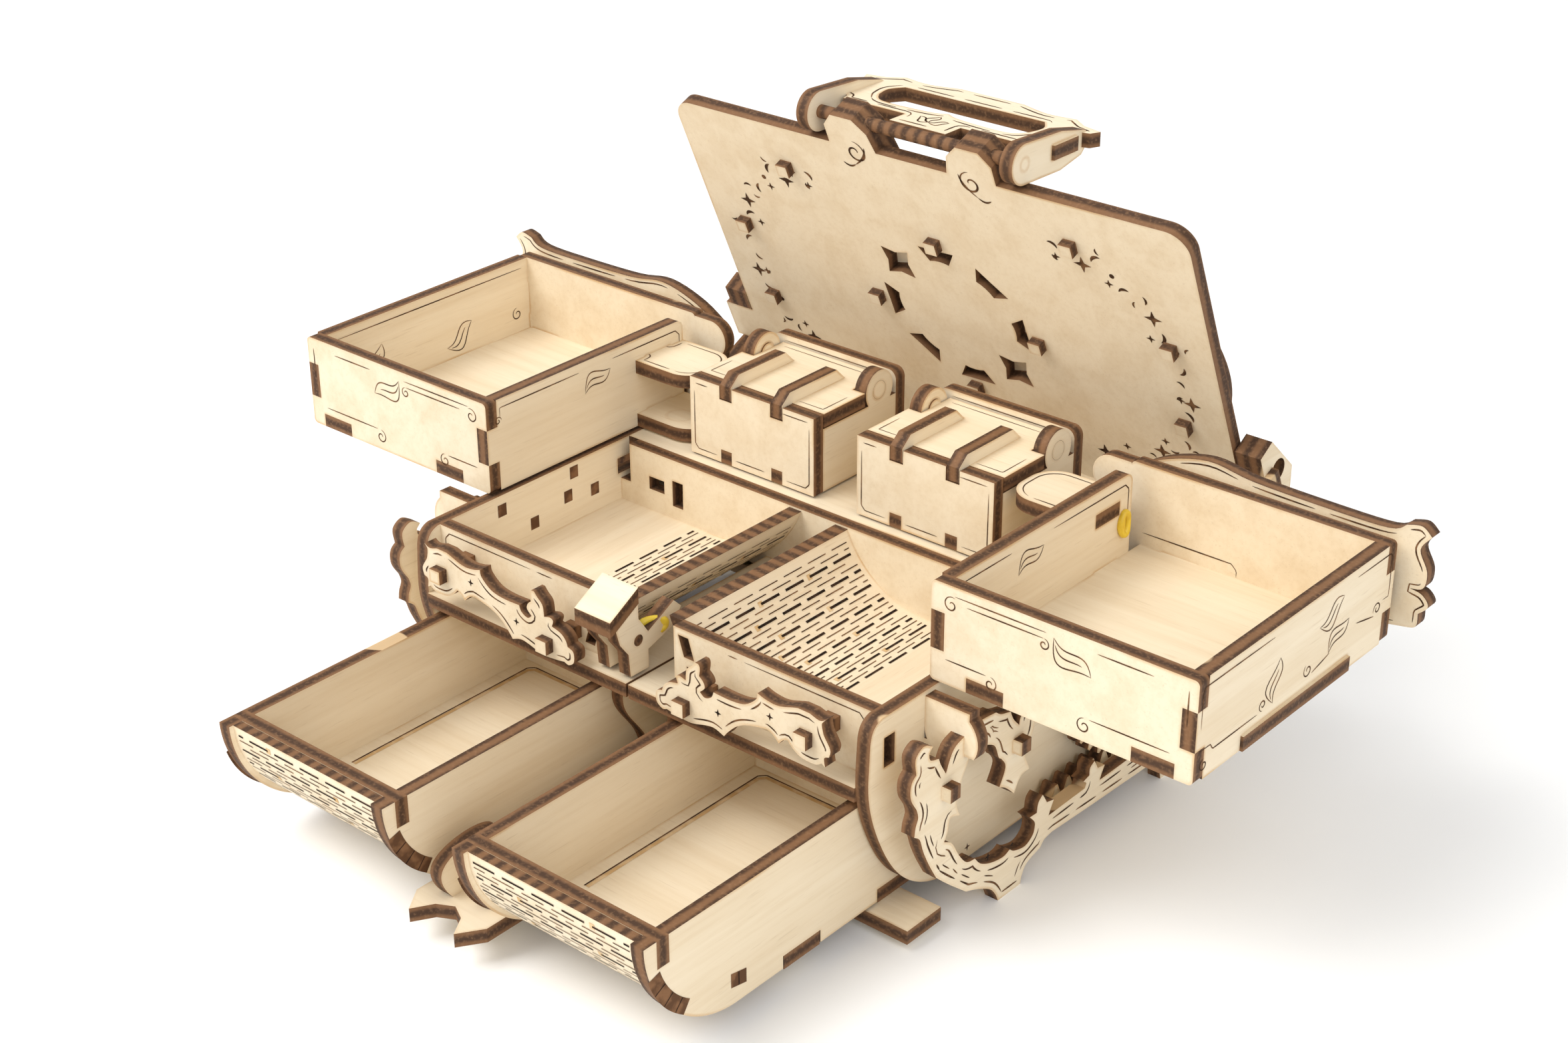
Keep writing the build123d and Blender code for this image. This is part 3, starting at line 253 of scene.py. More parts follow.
# Bent plates and the latch's cap: the same ply. A bent plate shows its cut at the sides and along its top;
# the cap's faces look along its slope.
BENT_PLATES = (("bent_floor_left", Y_AXIS), ("bent_floor_right", Y_AXIS),
               ("drawer_skin_left", X_AXIS), ("drawer_skin_right", X_AXIS))
TOP_EDGE = 0.0001
CAP_AXIS = (0.0, -0.491, 0.871)
for name, axis in BENT_PLATES:
    finish(name, ply_material(f"{name}_ply", axis, cap=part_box(name)[1][2] - TOP_EDGE))
finish("latch_cap", ply_material("latch_cap_slope_ply", CAP_AXIS))

# Trays: birch walls with thin laser-burnt strokes, drawn as ribbons that lie on the plate they decorate. Each
# follows the plate's own outline a little way in, or is a curl, a leaf or a border line drawn for its place.
MM = 0.001
HAIR, FINE, THIN, BOLD = 0.00022, 0.00028, 0.00034, 0.00040
LINE_LIFT = 0.00005
LINE_STEP = 0.0005
SHORTEST_LOOP = 0.012


def line_material(name, core, rim):
    """Charred groove: dark core that breaks into warm brown here and there."""
    mat = bpy.data.materials.new(name)
    mat.use_nodes = True
    tree = mat.node_tree
    shader = tree.nodes["Principled BSDF"]
    place = add(tree, "ShaderNodeTexCoord").outputs["Object"]
    cloud = noise(tree, place, 320.0, 3.0)
    colour = mix(tree, band(tree, cloud, 0.44, 0.66), core, rim)
    tree.links.new(colour, shader.inputs["Base Color"])
    shader.inputs["Roughness"].default_value = 0.85
    shader.inputs["Specular IOR Level"].default_value = 0.15
    bump = add(tree, "ShaderNodeBump", (("Height", cloud), ("Strength", 0.3), ("Distance", 0.0001)))
    tree.links.new(bump.outputs[0], shader.inputs["Normal"])
    return mat


LINE = line_material("burnt_line", (0.055, 0.026, 0.012, 1.0), (0.20, 0.10, 0.045, 1.0))
SCORCH = line_material("scorched_line", (0.58, 0.38, 0.18, 1.0), (0.70, 0.52, 0.31, 1.0))
# Near-black for slits, star cut-outs and gaps between tenon ends: partly char on the cut walls, partly painted
# shade inside the openings.
CHAR_AND_GAP_SHADE = line_material("slit_char_and_painted_shade", (0.014, 0.008, 0.005, 1.0), (0.045, 0.022, 0.012, 1.0))
TENON = line_material("tenon_ends", (0.105, 0.050, 0.024, 1.0), (0.21, 0.105, 0.05, 1.0))


def loops_of(node, axis, level=None):
    """Outlines of a plate's face that looks along axis: the edges which no second face there shares."""
    mesh = NODES[node].data
    points = np.array([v.co[:] for v in mesh.vertices])
    axis = np.array(axis, float)
    keys = {}
    weld = [keys.setdefault(tuple(np.round(p * 1e6).astype(int)), n) for n, p in enumerate(points)]
    faces = [p for p in mesh.polygons if np.dot(p.normal, axis) > 0.98]
    heights = np.array([np.dot(p.center, axis) for p in faces])
    goal = heights.max() if level is None else level
    edges = {}
    for face, height in zip(faces, heights):
        if abs(height - goal) < 0.0002:
            ring = [weld[v] for v in face.vertices]
            for a, b in zip(ring, ring[1:] + ring[:1]):
                edges.setdefault(a, {})[b] = True
    for a in list(edges):
        for b in list(edges[a]):
            if a in edges.get(b, {}):
                del edges[a][b]
                del edges[b][a]
    loops = []
    for start in list(edges):
        while edges.get(start):
            ring = [start]
            here = next(iter(edges[start]))
            del edges[start][here]
            while here != start and edges.get(here):
                ring.append(here)
                after = next(iter(edges[here]))
                del edges[here][after]
                here = after
            if len(ring) > 3:
                loops.append(points[ring])
    return loops


def even(points, step=LINE_STEP, closed=False):
    """The same path with evenly spaced points."""
    points = np.asarray(points, float)
    if closed:
        points = np.vstack([points, points[:1]])
    reach = np.concatenate([[0.0], np.cumsum(np.linalg.norm(np.diff(points, axis=0), axis=1))])
    marks = np.linspace(0.0, reach[-1], max(2, int(reach[-1] / step)))
    return np.stack([np.interp(marks, reach, points[:, k]) for k in range(3)], axis=1)


def inset_runs(node, axis, inset, dash, space, level=None):
    """A plate's outline moved inwards and cut into dashes, left out where the plate is too narrow for it."""
    axis = np.array(axis, float)
    loops = [even(loop, closed=True) for loop in loops_of(node, axis, level)]
    if not loops:
        return []
    whole = np.vstack(loops)
    runs = []
    for loop in loops:
        if len(loop) * LINE_STEP <= SHORTEST_LOOP:
            continue
        along = np.roll(loop, -2, axis=0) - np.roll(loop, 2, axis=0)
        along /= np.maximum(np.linalg.norm(along, axis=1), 1e-9)[:, None]
        moved = loop + inset * np.cross(axis, along)
        gaps = np.sqrt(((moved[:, None, :] - whole[None, ::2, :]) ** 2).sum(axis=2)).min(axis=1)
        good = gaps > inset * 0.93
        period = max(2, int((dash + space) / LINE_STEP))
        ink = int(dash / LINE_STEP)
        run = []
        for n, point in enumerate(moved):
            if good[n] and n % period < ink:
                run.append(point)
            elif run:
                runs.append(np.array(run))
                run = []
        if run:
            runs.append(np.array(run))
    return [run for run in runs if len(run) > 4]


def flat_piece(name, body, points, faces, axis, material):
    """Piece of flat faces that look along axis, riding on a body."""
    mesh = bpy.data.meshes.new(name)
    mesh.from_pydata([tuple(p) for p in points], [], faces)
    mesh.update()
    if np.dot(mesh.polygons[0].normal, axis) < 0:
        mesh.flip_normals()
    piece = bpy.data.objects.new(name, mesh)
    bpy.context.scene.collection.objects.link(piece)
    mesh.materials.append(material)
    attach(piece, body)


def stroke_piece(name, body, strokes, axis, width=FINE, material=LINE, taper=True):
    """Ribbon along each stroke, half a width to either side; tapered, its width is the root of a sine."""
    axis = np.array(axis, float)
    points, faces = [], []
    for run in strokes:
        run = np.asarray(run, float)
        along = np.gradient(run, axis=0)
        across = np.cross(axis, along)
        across /= np.maximum(np.linalg.norm(across, axis=1), 1e-12)[:, None]
        half = np.full(len(run), width / 2)
        if taper:
            share = np.linspace(0.0, 1.0, len(run))
            half *= np.clip(np.sin(np.pi * share), 0.0, 1.0) ** 0.5 * 0.9 + 0.1
        base = len(points)
        for place, side_way, reach in zip(run + axis * LINE_LIFT, across, half):
            points += [place - side_way * reach, place + side_way * reach]
        for n in range(len(run) - 1):
            a = base + 2 * n
            faces.append((a, a + 2, a + 3, a + 1))
    flat_piece(name, body, points, faces, axis, material)


def on_front(y, s=1):
    """Places a across and b up a plate at depth y; s is -1 for the left-hand half."""
    return lambda a, b: (s * a * MM, y * MM, b * MM)


def on_side(x, s=1):
    """Places a back and b up a plate at x; s is -1 for the left-hand half."""
    return lambda a, b: (s * x * MM, a * MM, b * MM)


def on_top(z, s=1):
    """Places a across and b back on a level plate at z; s is -1 for the left-hand half."""
    return lambda a, b: (s * a * MM, b * MM, z * MM)


def straight(place, *corners):
    """Stroke through corners given in the plate's own plane, in millimetres."""
    return even([place(*c) for c in corners])


def curl(place, a, b, radius, way=1, start=90.0):
    """Spiral stroke: the radius shrinks evenly to a fifth while the angle makes one and a quarter turns."""
    path = []
    for t in np.linspace(0.0, 1.0, 26):
        angle = math.radians(start + way * 450.0 * t)
        reach = radius * (1.0 - 0.8 * t)
        path.append(place(a + reach * math.cos(angle), b + reach * math.sin(angle)))
    return np.array(path)


def leaf(place, a, b, length, lean_deg, hand=1):
    """Two bowed strokes that meet in a tip, with a wavy vein between them."""
    c, s = math.cos(math.radians(lean_deg)), math.sin(math.radians(lean_deg))
    strokes = []
    for bow in (0.34, -0.08, 0.12):
        path = []
        for t in np.linspace(0.1 if bow == 0.12 else 0.0, 0.75 if bow == 0.12 else 1.0, 18):
            u = length * t
            v = hand * length * (bow * math.sin(math.pi * t) + 0.10 * math.sin(2 * math.pi * t))
            path.append(place(a + u * c - v * s, b + u * s + v * c))
        strokes.append(np.array(path))
    return strokes


TRAY_X0, TRAY_X1, TRAY_Y0, TRAY_Y1 = 57.2, 112.8, -34.8, 31.0
PLY = 3.0
HANDS = (("right", 1), ("left", -1))
FORWARD, BACKWARD, UP = (0, -1, 0), (0, 1, 0), (0, 0, 1)
for hand, s in HANDS:
    body = f"tray_{hand}"
    face = on_front(TRAY_Y0, s)
    strokes = [curl(face, 61.6, 65.0, 1.7, 1, 60), straight(face, (62.4, 66.9), (82.0, 66.9)),
               straight(face, (65.0, 65.6), (81.5, 65.6)), curl(face, 81.6, 64.4, 1.2, -1, 90),
               straight(face, (92.6, 66.6), (104.0, 66.6)), straight(face, (110.9, 66.5), (110.9, 59.5)),
               straight(face, (60.6, 53.6), (69.6, 53.6)), curl(face, 70.6, 52.2, 1.5, -1, 90),
               curl(face, 90.6, 51.6, 1.6, 1, 90), straight(face, (91.6, 53.2), (108.0, 53.2))]
    strokes += leaf(face, 83.6, 66.5, 9.4, -32, -1)
    stroke_piece(f"incised_tray_front_{hand}", body, strokes, FORWARD)
    wall = on_side(TRAY_X1, s)
    strokes = [straight(wall, (-33.4, 59.0), (-33.4, 66.2), (-32.6, 67.0), (-11.0, 67.0)),
               straight(wall, (17.0, 67.0), (28.8, 67.0), (29.6, 66.2), (29.6, 58.0), (27.4, 58.0)),
               straight(wall, (-33.6, 54.6), (-30.0, 54.6), (-29.2, 53.4), (-15.0, 53.4)),
               curl(wall, -31.8, 51.4, 1.3, 1, 90), curl(wall, -13.4, 54.6, 1.2, -1, 270),
               curl(wall, 1.6, 54.8, 1.5, 1, 120), curl(wall, 25.6, 57.0, 1.4, -1, 200),
               straight(wall, (3.0, 53.6), (9.0, 55.0)), straight(wall, (18.0, 57.2), (24.6, 55.8))]
    strokes += leaf(wall, -10.0, 53.4, 8.6, 80, 1) + leaf(wall, 8.6, 55.0, 8.0, 35, 1)
    strokes += leaf(wall, 4.6, 62.0, 8.6, 22, -1)
    stroke_piece(f"incised_tray_outer_{hand}", body, strokes, (s, 0, 0))
    wall = on_side(TRAY_X1 - PLY, s)
    strokes = [straight(wall, (-30.0, 66.8), (26.0, 66.8)), curl(wall, 24.0, 56.0, 1.6, 1, 90)]
    strokes += leaf(wall, -20.0, 53.5, 9.0, 70, 1) + leaf(wall, 2.0, 54.5, 9.0, 30, -1)
    stroke_piece(f"incised_tray_outer_inside_{hand}", body, strokes, (-s, 0, 0))
    wall = on_side(TRAY_X0 + PLY, s)
    strokes = [straight(wall, (-31.0, 66.8), (-15.0, 66.8)),
               straight(wall, (-2.0, 66.8), (21.6, 66.8), (22.8, 65.6), (22.8, 56.0))]
    strokes += leaf(wall, -12.6, 61.2, 8.4, 24, 1)
    stroke_piece(f"incised_tray_inner_{hand}", body, strokes, (s, 0, 0))
    wall = on_side(TRAY_X0, s)
    strokes = [straight(wall, (-31.0, 64.6), (-31.0, 66.8), (-8.0, 66.8)), curl(wall, -31.6, 64.0, 1.0, 1, 0),
               straight(wall, (2.0, 66.8), (21.6, 66.8), (22.8, 65.6), (22.8, 62.0))]
    strokes += leaf(wall, -6.4, 61.4, 8.4, 24, 1)
    stroke_piece(f"incised_tray_inner_out_{hand}", body, strokes, (-s, 0, 0))
    wall = on_front(TRAY_Y1 - PLY, s)
    strokes = [straight(wall, (60.6, 54.2), (80.8, 54.2), (82.0, 53.0), (82.0, 51.7))]
    stroke_piece(f"incised_tray_back_{hand}", body, strokes, FORWARD)
    strokes = inset_runs(f"tray_floor_{hand}", UP, 0.0013, 0.030, 0.002)
    stroke_piece(f"incised_lug_{hand}", body, strokes, UP, 0.00030)
    ornament = f"tray_ornament_{hand}"
    front_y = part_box(ornament)[1][1] - PLY * MM
    strokes = inset_runs(ornament, FORWARD, 0.0009, 0.014, 0.0025, -front_y)
    stroke_piece(f"incised_ornament_{hand}", body, strokes, FORWARD, THIN)
    strokes = inset_runs(ornament, BACKWARD, 0.0013, 0.014, 0.0025)
    stroke_piece(f"incised_ornament_back_{hand}", body, strokes, BACKWARD, THIN)

# Small boxes: two cheeks, front and back of birch ply on the deck, tabbed together; each front has a fine burnt
# line set in from its corners, and so have the lid and the tall back.
BOX_FRONT, BOX_BACK, BOX_X0, BOX_X1, BOX_TOP = 7.3, 34.0, 5.7, 39.7, 66.0
for hand, s in HANDS:
    a0, a1 = (BOX_X0, BOX_X1) if s > 0 else (BOX_X1, BOX_X0)
    face = on_front(BOX_FRONT, s)
    strokes = [straight(face, (a0 + s * 1.2, 63.0), (a0 + s * 1.2, 50.8), (a0 + s * 2.2, 49.8),
                        (a0 + s * 7.4, 49.8)),
               straight(face, (a0 + s * 12.6, 50.0), (a0 + s * 20.6, 50.0)),
               straight(face, (a1 - s * 7.4, 49.8), (a1 - s * 2.2, 49.8), (a1 - s * 1.2, 50.8),
                        (a1 - s * 1.2, 63.4)),
               straight(face, (a1 - s * 8.4, 64.8), (a1 - s * 1.6, 64.8)),
               straight(face, (a0 + s * 1.6, 64.8), (a0 + s * 5.0, 64.8))]
    stroke_piece(f"incised_box_front_{hand}", "case", strokes, FORWARD, 0.00024)
    top = on_top(BOX_TOP, s)
    strokes = [straight(top, (a1 - s * 8.0, 12.2), (a1 - s * 1.6, 12.2), (a1 - s * 1.6, 20.0)),
               straight(top, (a0 + s * 1.6, 19.0), (a0 + s * 1.6, 12.2), (a0 + s * 7.4, 12.2)),
               straight(top, (a0 + s * 5.0, 31.8), (a1 - s * 5.0, 31.8))]
    stroke_piece(f"incised_small_lid_{hand}", f"small_lid_{hand}_body", strokes, UP, HAIR)
    strokes = [straight(on_front(BOX_BACK, s), (BOX_X0 + 3.4, 66.3), (BOX_X1 - 3.4, 66.3))]
    stroke_piece(f"incised_box_back_{hand}", "case", strokes, FORWARD, HAIR)

# Front walls and scrolls: birch plates with border lines. The scrolls are held off the walls by square pegs and
# carry broken strokes along their whole outline.
WALL_Y = -50.0
face = on_front(WALL_Y)
strokes = [straight(face, (26.0, 46.7), (53.4, 46.7), (54.6, 45.4), (54.6, 36.0)),
           straight(face, (22.0, 46.7), (24.4, 46.7)),
           straight(face, (-54.6, 38.0), (-54.6, 45.4), (-53.4, 46.7), (-30.0, 46.7)),
           straight(face, (-28.4, 46.7), (-24.0, 46.7))]
stroke_piece("incised_front_walls", "case", strokes, FORWARD, 0.00026)
strokes = inset_runs("front_scrolls", FORWARD, 0.0011, 0.0085, 0.0016)
stroke_piece("incised_front_scrolls", "case", strokes, FORWARD, THIN)
for hand, s in HANDS:
    scroll, outward = f"side_scroll_{hand}", (s, 0, 0)
    strokes = inset_runs(scroll, outward, 0.0014, 0.0075, 0.0018)
    stroke_piece(f"incised_side_scroll_{hand}", "case", strokes, outward, BOLD)
    strokes = inset_runs(scroll, outward, 0.0026, 0.0040, 0.0046)
    stroke_piece(f"incised_side_scroll_fine_{hand}", "case", strokes, outward, FINE)


def star(place, a, b, radius):
    """Four-pointed star with hollow sides: the radius alternates between its tips and a third of that."""
    ring = []
    for n in range(8):
        reach = radius * (1.0 if n % 2 == 0 else 0.34)
        ring.append(place(a + reach * math.cos(n * math.pi / 4), b + reach * math.sin(n * math.pi / 4)))
    return ring


def patch_piece(name, body, outlines, axis, material=LINE):
    """Flat filled shapes lying on a plate, each fanned out from its middle."""
    axis = np.array(axis, float)
    points, faces = [], []
    for outline in outlines:
        ring = np.array(outline) + axis * LINE_LIFT
        base = len(points)
        points += [ring.mean(axis=0)] + list(ring)
        faces += [(base, base + 1 + n, base + 1 + (n + 1) % len(ring)) for n in range(len(ring))]
    flat_piece(name, body, points, faces, axis, material)


# Tenon ends and stars: small burnt squares on the case's left wall where its pegs come through, and small black
# four-pointed stars on the front and side scrolls, their near-black partly char and partly painted shade in the
# cut-outs. All are flat marks on the birch.
WALL_INSIDE, SCROLL_FRONT, SCROLL_SIDE = -56.0, -57.8, 68.0
PEG_ENDS = ((-33.0, 44.6), (-12.0, 45.6), (-14.0, 40.6), (-6.0, 39.4), (-24.0, 38.2), (-38.0, 38.6))
SIDE_STARS = ((-30.0, 12.0, 1.0), (-36.6, 17.6, 0.9), (-22.4, 10.8, 0.7))
face = on_side(WALL_INSIDE)
squares = [[face(y - 1.2, z - 1.4), face(y + 1.2, z - 1.4), face(y + 1.2, z + 1.4), face(y - 1.2, z + 1.4)]
           for y, z in PEG_ENDS]
patch_piece("tenons_case_left", "case", squares, (1, 0, 0), TENON)
face = on_front(SCROLL_FRONT)
stars = [star(face, s * a, b, 0.85) for s in (-1, 1) for a, b in ((26.4, 39.6), (39.0, 43.8))]
patch_piece("stars_front_scrolls", "case", stars, FORWARD, CHAR_AND_GAP_SHADE)
for hand, s in HANDS:
    face = on_side(SCROLL_SIDE, s)
    stars = [star(face, y, z, radius) for y, z, radius in SIDE_STARS]
    patch_piece(f"stars_side_scroll_{hand}", "case", stars, (s, 0, 0), CHAR_AND_GAP_SHADE)

# Lid: a leaning birch panel on the two arms. Two C-shaped bands of small diamonds, crescents and dots stand
# beside its ring of slots, all burnt dark, and each ear at its top edge carries a spiral.
LID_AXIS_Y, LID_AXIS_Z, LID_REACH, LID_MIDDLE, LID_TIP = 23.5, 31.0, 40.4, 32.75, 74.5


def on_lid(a, b):
    """Place a across and b up the lid's inner face."""
    return (a * MM, (LID_AXIS_Y + LID_REACH * math.cos(LEAN) - b * math.sin(LEAN)) * MM,
            (LID_AXIS_Z + LID_REACH * math.sin(LEAN) + b * math.cos(LEAN)) * MM)


def crescent(a, b, radius, turn):
    """Moon shape: an outer half circle closed by a flatter one."""
    ring = [(math.cos(t), math.sin(t)) for t in np.linspace(-1.3, 1.3, 9)]
    ring += [(0.55 + 0.2 * math.cos(t) - 0.28, math.sin(t) * 0.9) for t in np.linspace(1.2, -1.2, 7)]
    c, s = math.cos(turn), math.sin(turn)
    return [on_lid(a + radius * (x * c - y * s), b + radius * (x * s + y * c)) for x, y in ring]


INWARD = (0.0, -math.cos(LEAN), -math.sin(LEAN))
piercings = []
C_CENTRE, C_RADIUS, C_COUNT = 35.0, 24.6, 23
for s in (-1, 1):
    for n in range(C_COUNT):
        turn = math.radians(-100.0 + 200.0 * n / (C_COUNT - 1))
        wave = 1.5 * math.sin(n * 2.1)
        radius = C_RADIUS + wave
        a = s * (C_CENTRE + radius * math.cos(turn) * 0.86)
        b = LID_MIDDLE + 1.16 * radius * math.sin(turn)
        size = (1.7, 1.1, 1.35, 0.8, 1.5)[n % 5]
        facing = turn if s > 0 else math.pi - turn
        if n % 5 == 0:
            piercings.append(star(on_lid, a, b, size * 1.25))
        elif n % 5 == 3:
            piercings.append([on_lid(a + 0.6 * math.cos(t), b + 0.6 * math.sin(t))
                              for t in np.linspace(0, 5.4, 9)])
        else:
            piercings.append(crescent(a, b, size, facing + (0.9 if n % 2 else -0.7)))
        if n % 3 == 1:
            off = 2.9 if n % 2 else -2.6
            piercings.append(crescent(a + off * math.cos(facing), b + off * math.sin(facing), 0.9,
                                      facing + 2.2))
        if n % 4 == 2:
            piercings.append(star(on_lid, a - 2.6 * math.cos(facing), b - 2.6 * math.sin(facing), 1.1))
patch_piece("lid_piercings", "lid", piercings, INWARD)
strokes = []
for s in (-1, 1):
    strokes.append(curl(on_lid, s * 14.6, LID_TIP - 1.2, 2.9, s, 90.0))
    strokes.append(np.array([on_lid(s * (11.9 + 3.6 * t * t), LID_TIP + 0.6 - 5.2 * t)
                             for t in np.linspace(0, 1, 12)]))
    strokes.append(np.array([on_lid(s * (15.5 + 3.2 * t), LID_TIP - 4.6 - 0.7 * math.sin(3.1 * t))
                             for t in np.linspace(0, 1, 12)]))
stroke_piece("incised_lid_ears", "lid", strokes, INWARD, 0.00050)

# Handle: flat ring grip of birch ply between two cheeks, pinned to the lid's ears. The grip carries broken
# strokes along its outline and a three-petalled flower in the middle.
grip_low, grip_high = [np.array(corner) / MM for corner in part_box("handle_grip")]
strokes = inset_runs("handle_grip", UP, 0.0014, 0.010, 0.002)
stroke_piece("incised_grip", "handle", strokes, UP, BOLD)
top = on_top(grip_high[2])
lily = []
for lean_deg, turn_way in ((150, 1), (90, 1), (30, -1)):
    lily += leaf(top, 0.0, grip_low[1] + 3.6, 4.2, lean_deg, turn_way)[:2]
stroke_piece("incised_lily", "handle", lily, UP, THIN)

# Bent floors: ply made to bend by rows of staggered laser slits, each laid on the surface as a dark strip.
# Every third row is a wide black slit, partly char and partly painted shade inside the open cut, and the rest
# are hairlines; scorch dots mark where some slits start.
BEND_RADIUS, BEND_START = 22.3, 28.2
FLOOR_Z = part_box("bent_floor_right")[0][2] / MM + PLY
ROW_STEP = 1.25
SLIT_WIDE, DOT_WIDTH, SLIT_MARGIN, FLAT_ROWS = 0.00052, 0.0012, 1.6, 5


def row_strokes(row, spot, low, high, place, dash=5.4, space=1.9):
    """Dashes of one row, shifted from the row before, sorted into wide slits, hairlines and scorch dots."""
    wide, fine, dots = [], [], []
    store = wide if row % 3 == 0 else fine
    here = low - (dash + space) + (row % 2) * (dash + space) / 2 + (row % 3) * 0.5
    while here < high:
        a, b = max(here, low), min(here + dash, high)
        if b - a > 1.0:
            store.append(np.array([place(spot, a), place(spot, b)]))
            if row % 3 == 0 and (row * 5 + int(a)) % 3 == 0:
                dots.append(np.array([place(spot, a - 0.7), place(spot, a + 0.5)]))
        here += dash + space
    return wide, fine, dots


def slit_band(name, body, spots, low, high, place, widths=(SLIT_WIDE, HAIR)):
    """Wide slits, hairlines and scorch dots of one bent band, a piece each; every row faces its own way."""
    # The wide slits get the near-black of char and painted shade inside the open cut.
    kinds = (("wide", widths[0], CHAR_AND_GAP_SHADE, 2.0), ("fine", widths[1], LINE, 2.0), ("dots", DOT_WIDTH, SCORCH, 1.0))
    for pick, (tag, width, material, lift) in enumerate(kinds):
        points, faces = [], []
        for row, (spot, axis) in enumerate(spots):
            up = np.array(axis) * LINE_LIFT * lift
            for start, end in row_strokes(row, spot, low, high, place)[pick]:
                along = (end - start) / np.linalg.norm(end - start)
                across = np.cross(axis, along) * width / 2
                base = len(points)
                points += [start - across + up, end - across + up, end + across + up, start + across + up]
                faces.append((base, base + 1, base + 2, base + 3))
        flat_piece(f"{name}_{tag}", body, points, faces, spots[0][1], material)


def along_y(spot, a):
    """Place a back along a row at spot, which is x and z."""
    return (spot[0] * MM, a * MM, spot[1] * MM)


floor_low, floor_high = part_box("bent_floor_right")
row_start, row_end = floor_low[1] / MM + SLIT_MARGIN, floor_high[1] / MM - SLIT_MARGIN
turn_top = math.acos((BEND_RADIUS - (floor_high[2] / MM - FLOOR_Z)) / BEND_RADIUS)
for hand, s in HANDS:
    spots = []
    for n in range(1, int(turn_top * BEND_RADIUS / ROW_STEP)):
        turn = n * ROW_STEP / BEND_RADIUS
        spot = (s * (BEND_START - BEND_RADIUS * math.sin(turn)), FLOOR_Z + BEND_RADIUS * (1 - math.cos(turn)))
        spots.append((spot, np.array([s * math.sin(turn), 0.0, math.cos(turn)])))
    for n in range(FLAT_ROWS):
        spots.insert(0, ((s * (BEND_START + n * ROW_STEP), FLOOR_Z), np.array([0.0, 0.0, 1.0])))
    slit_band(f"slits_floor_{hand}", "case", spots, row_start, row_end, along_y)
    outside = []
    for spot, axis in spots[FLAT_ROWS + 1:]:
        outside.append(((spot[0] - axis[0] * PLY, spot[1] - axis[2] * PLY), -axis))
    slit_band(f"slits_floor_under_{hand}", "case", outside, row_start, row_end, along_y)

# Drawers: the same slit ply bent round the front ends of the cheeks, floors with a burnt border panel, and
# cheeks with a curved slot that shows four tenon ends and a short one that shows two. All ride on the carriage.
DRAWER_OUT, DRAWER_IN = 55.5, 9.2
DRAWER_ROW = 0.00112
SLOT_CENTRE, SLOT_OUT, SLOT_IN = (-88.0, 27.6), 20.6, 17.6
FLOOR_LEFT, FLOOR_RIGHT, FLOOR_FRONT, FLOOR_BACK, FLOOR_CORNER = 15.4, 49.4, -83.0, -33.4, 1.2
GLOW_STEP, GLOW_WIDTH = 0.7, 0.0009
corners = [(FLOOR_LEFT, FLOOR_FRONT), (FLOOR_LEFT, FLOOR_BACK - FLOOR_CORNER),
           (FLOOR_LEFT + FLOOR_CORNER, FLOOR_BACK), (FLOOR_RIGHT - FLOOR_CORNER, FLOOR_BACK),
           (FLOOR_RIGHT, FLOOR_BACK - FLOOR_CORNER), (FLOOR_RIGHT, FLOOR_FRONT)]
glow = [(a + (GLOW_STEP if a < 30 else -GLOW_STEP), b - (GLOW_STEP if b > -50 else 0)) for a, b in corners]


def front_rows(node):
    """Rows down the outside of a bent drawer front: place and direction at even heights, read off its faces."""
    spots = []
    for p in NODES[node].data.polygons:
        middle, way = np.array(p.center), np.array(p.normal)
        if way[1] < -0.2 and way[2] < 0.35 and abs(way[0]) < 0.05:
            spots.append((middle, way))
    spots.sort(key=lambda spot: -spot[0][2])
    heights = np.array([spot[0][2] for spot in spots])
    reach = np.array([spot[0][1] for spot in spots])
    ways = np.array([spot[1] for spot in spots])
    order = np.argsort(heights)
    rows = []
    for z in np.arange(heights.min() + 0.0003, heights.max() - 0.0004, DRAWER_ROW):
        y = np.interp(z, heights[order], reach[order])
        way = np.array([0.0] + [np.interp(z, heights[order], ways[order, k]) for k in (1, 2)])
        rows.append(((y / MM, z / MM), way / np.linalg.norm(way)))
    return rows


def slot_point(face, reach, turn):
    """Place on a drawer cheek at this reach from the curved slot's centre, at this turn round it."""
    return face(SLOT_CENTRE[0] + reach * math.cos(turn), SLOT_CENTRE[1] + reach * math.sin(turn))


def across_x(s):
    """Places a across a row at spot, which is y and z."""
    return lambda spot, a: (s * a * MM, spot[0] * MM, spot[1] * MM)


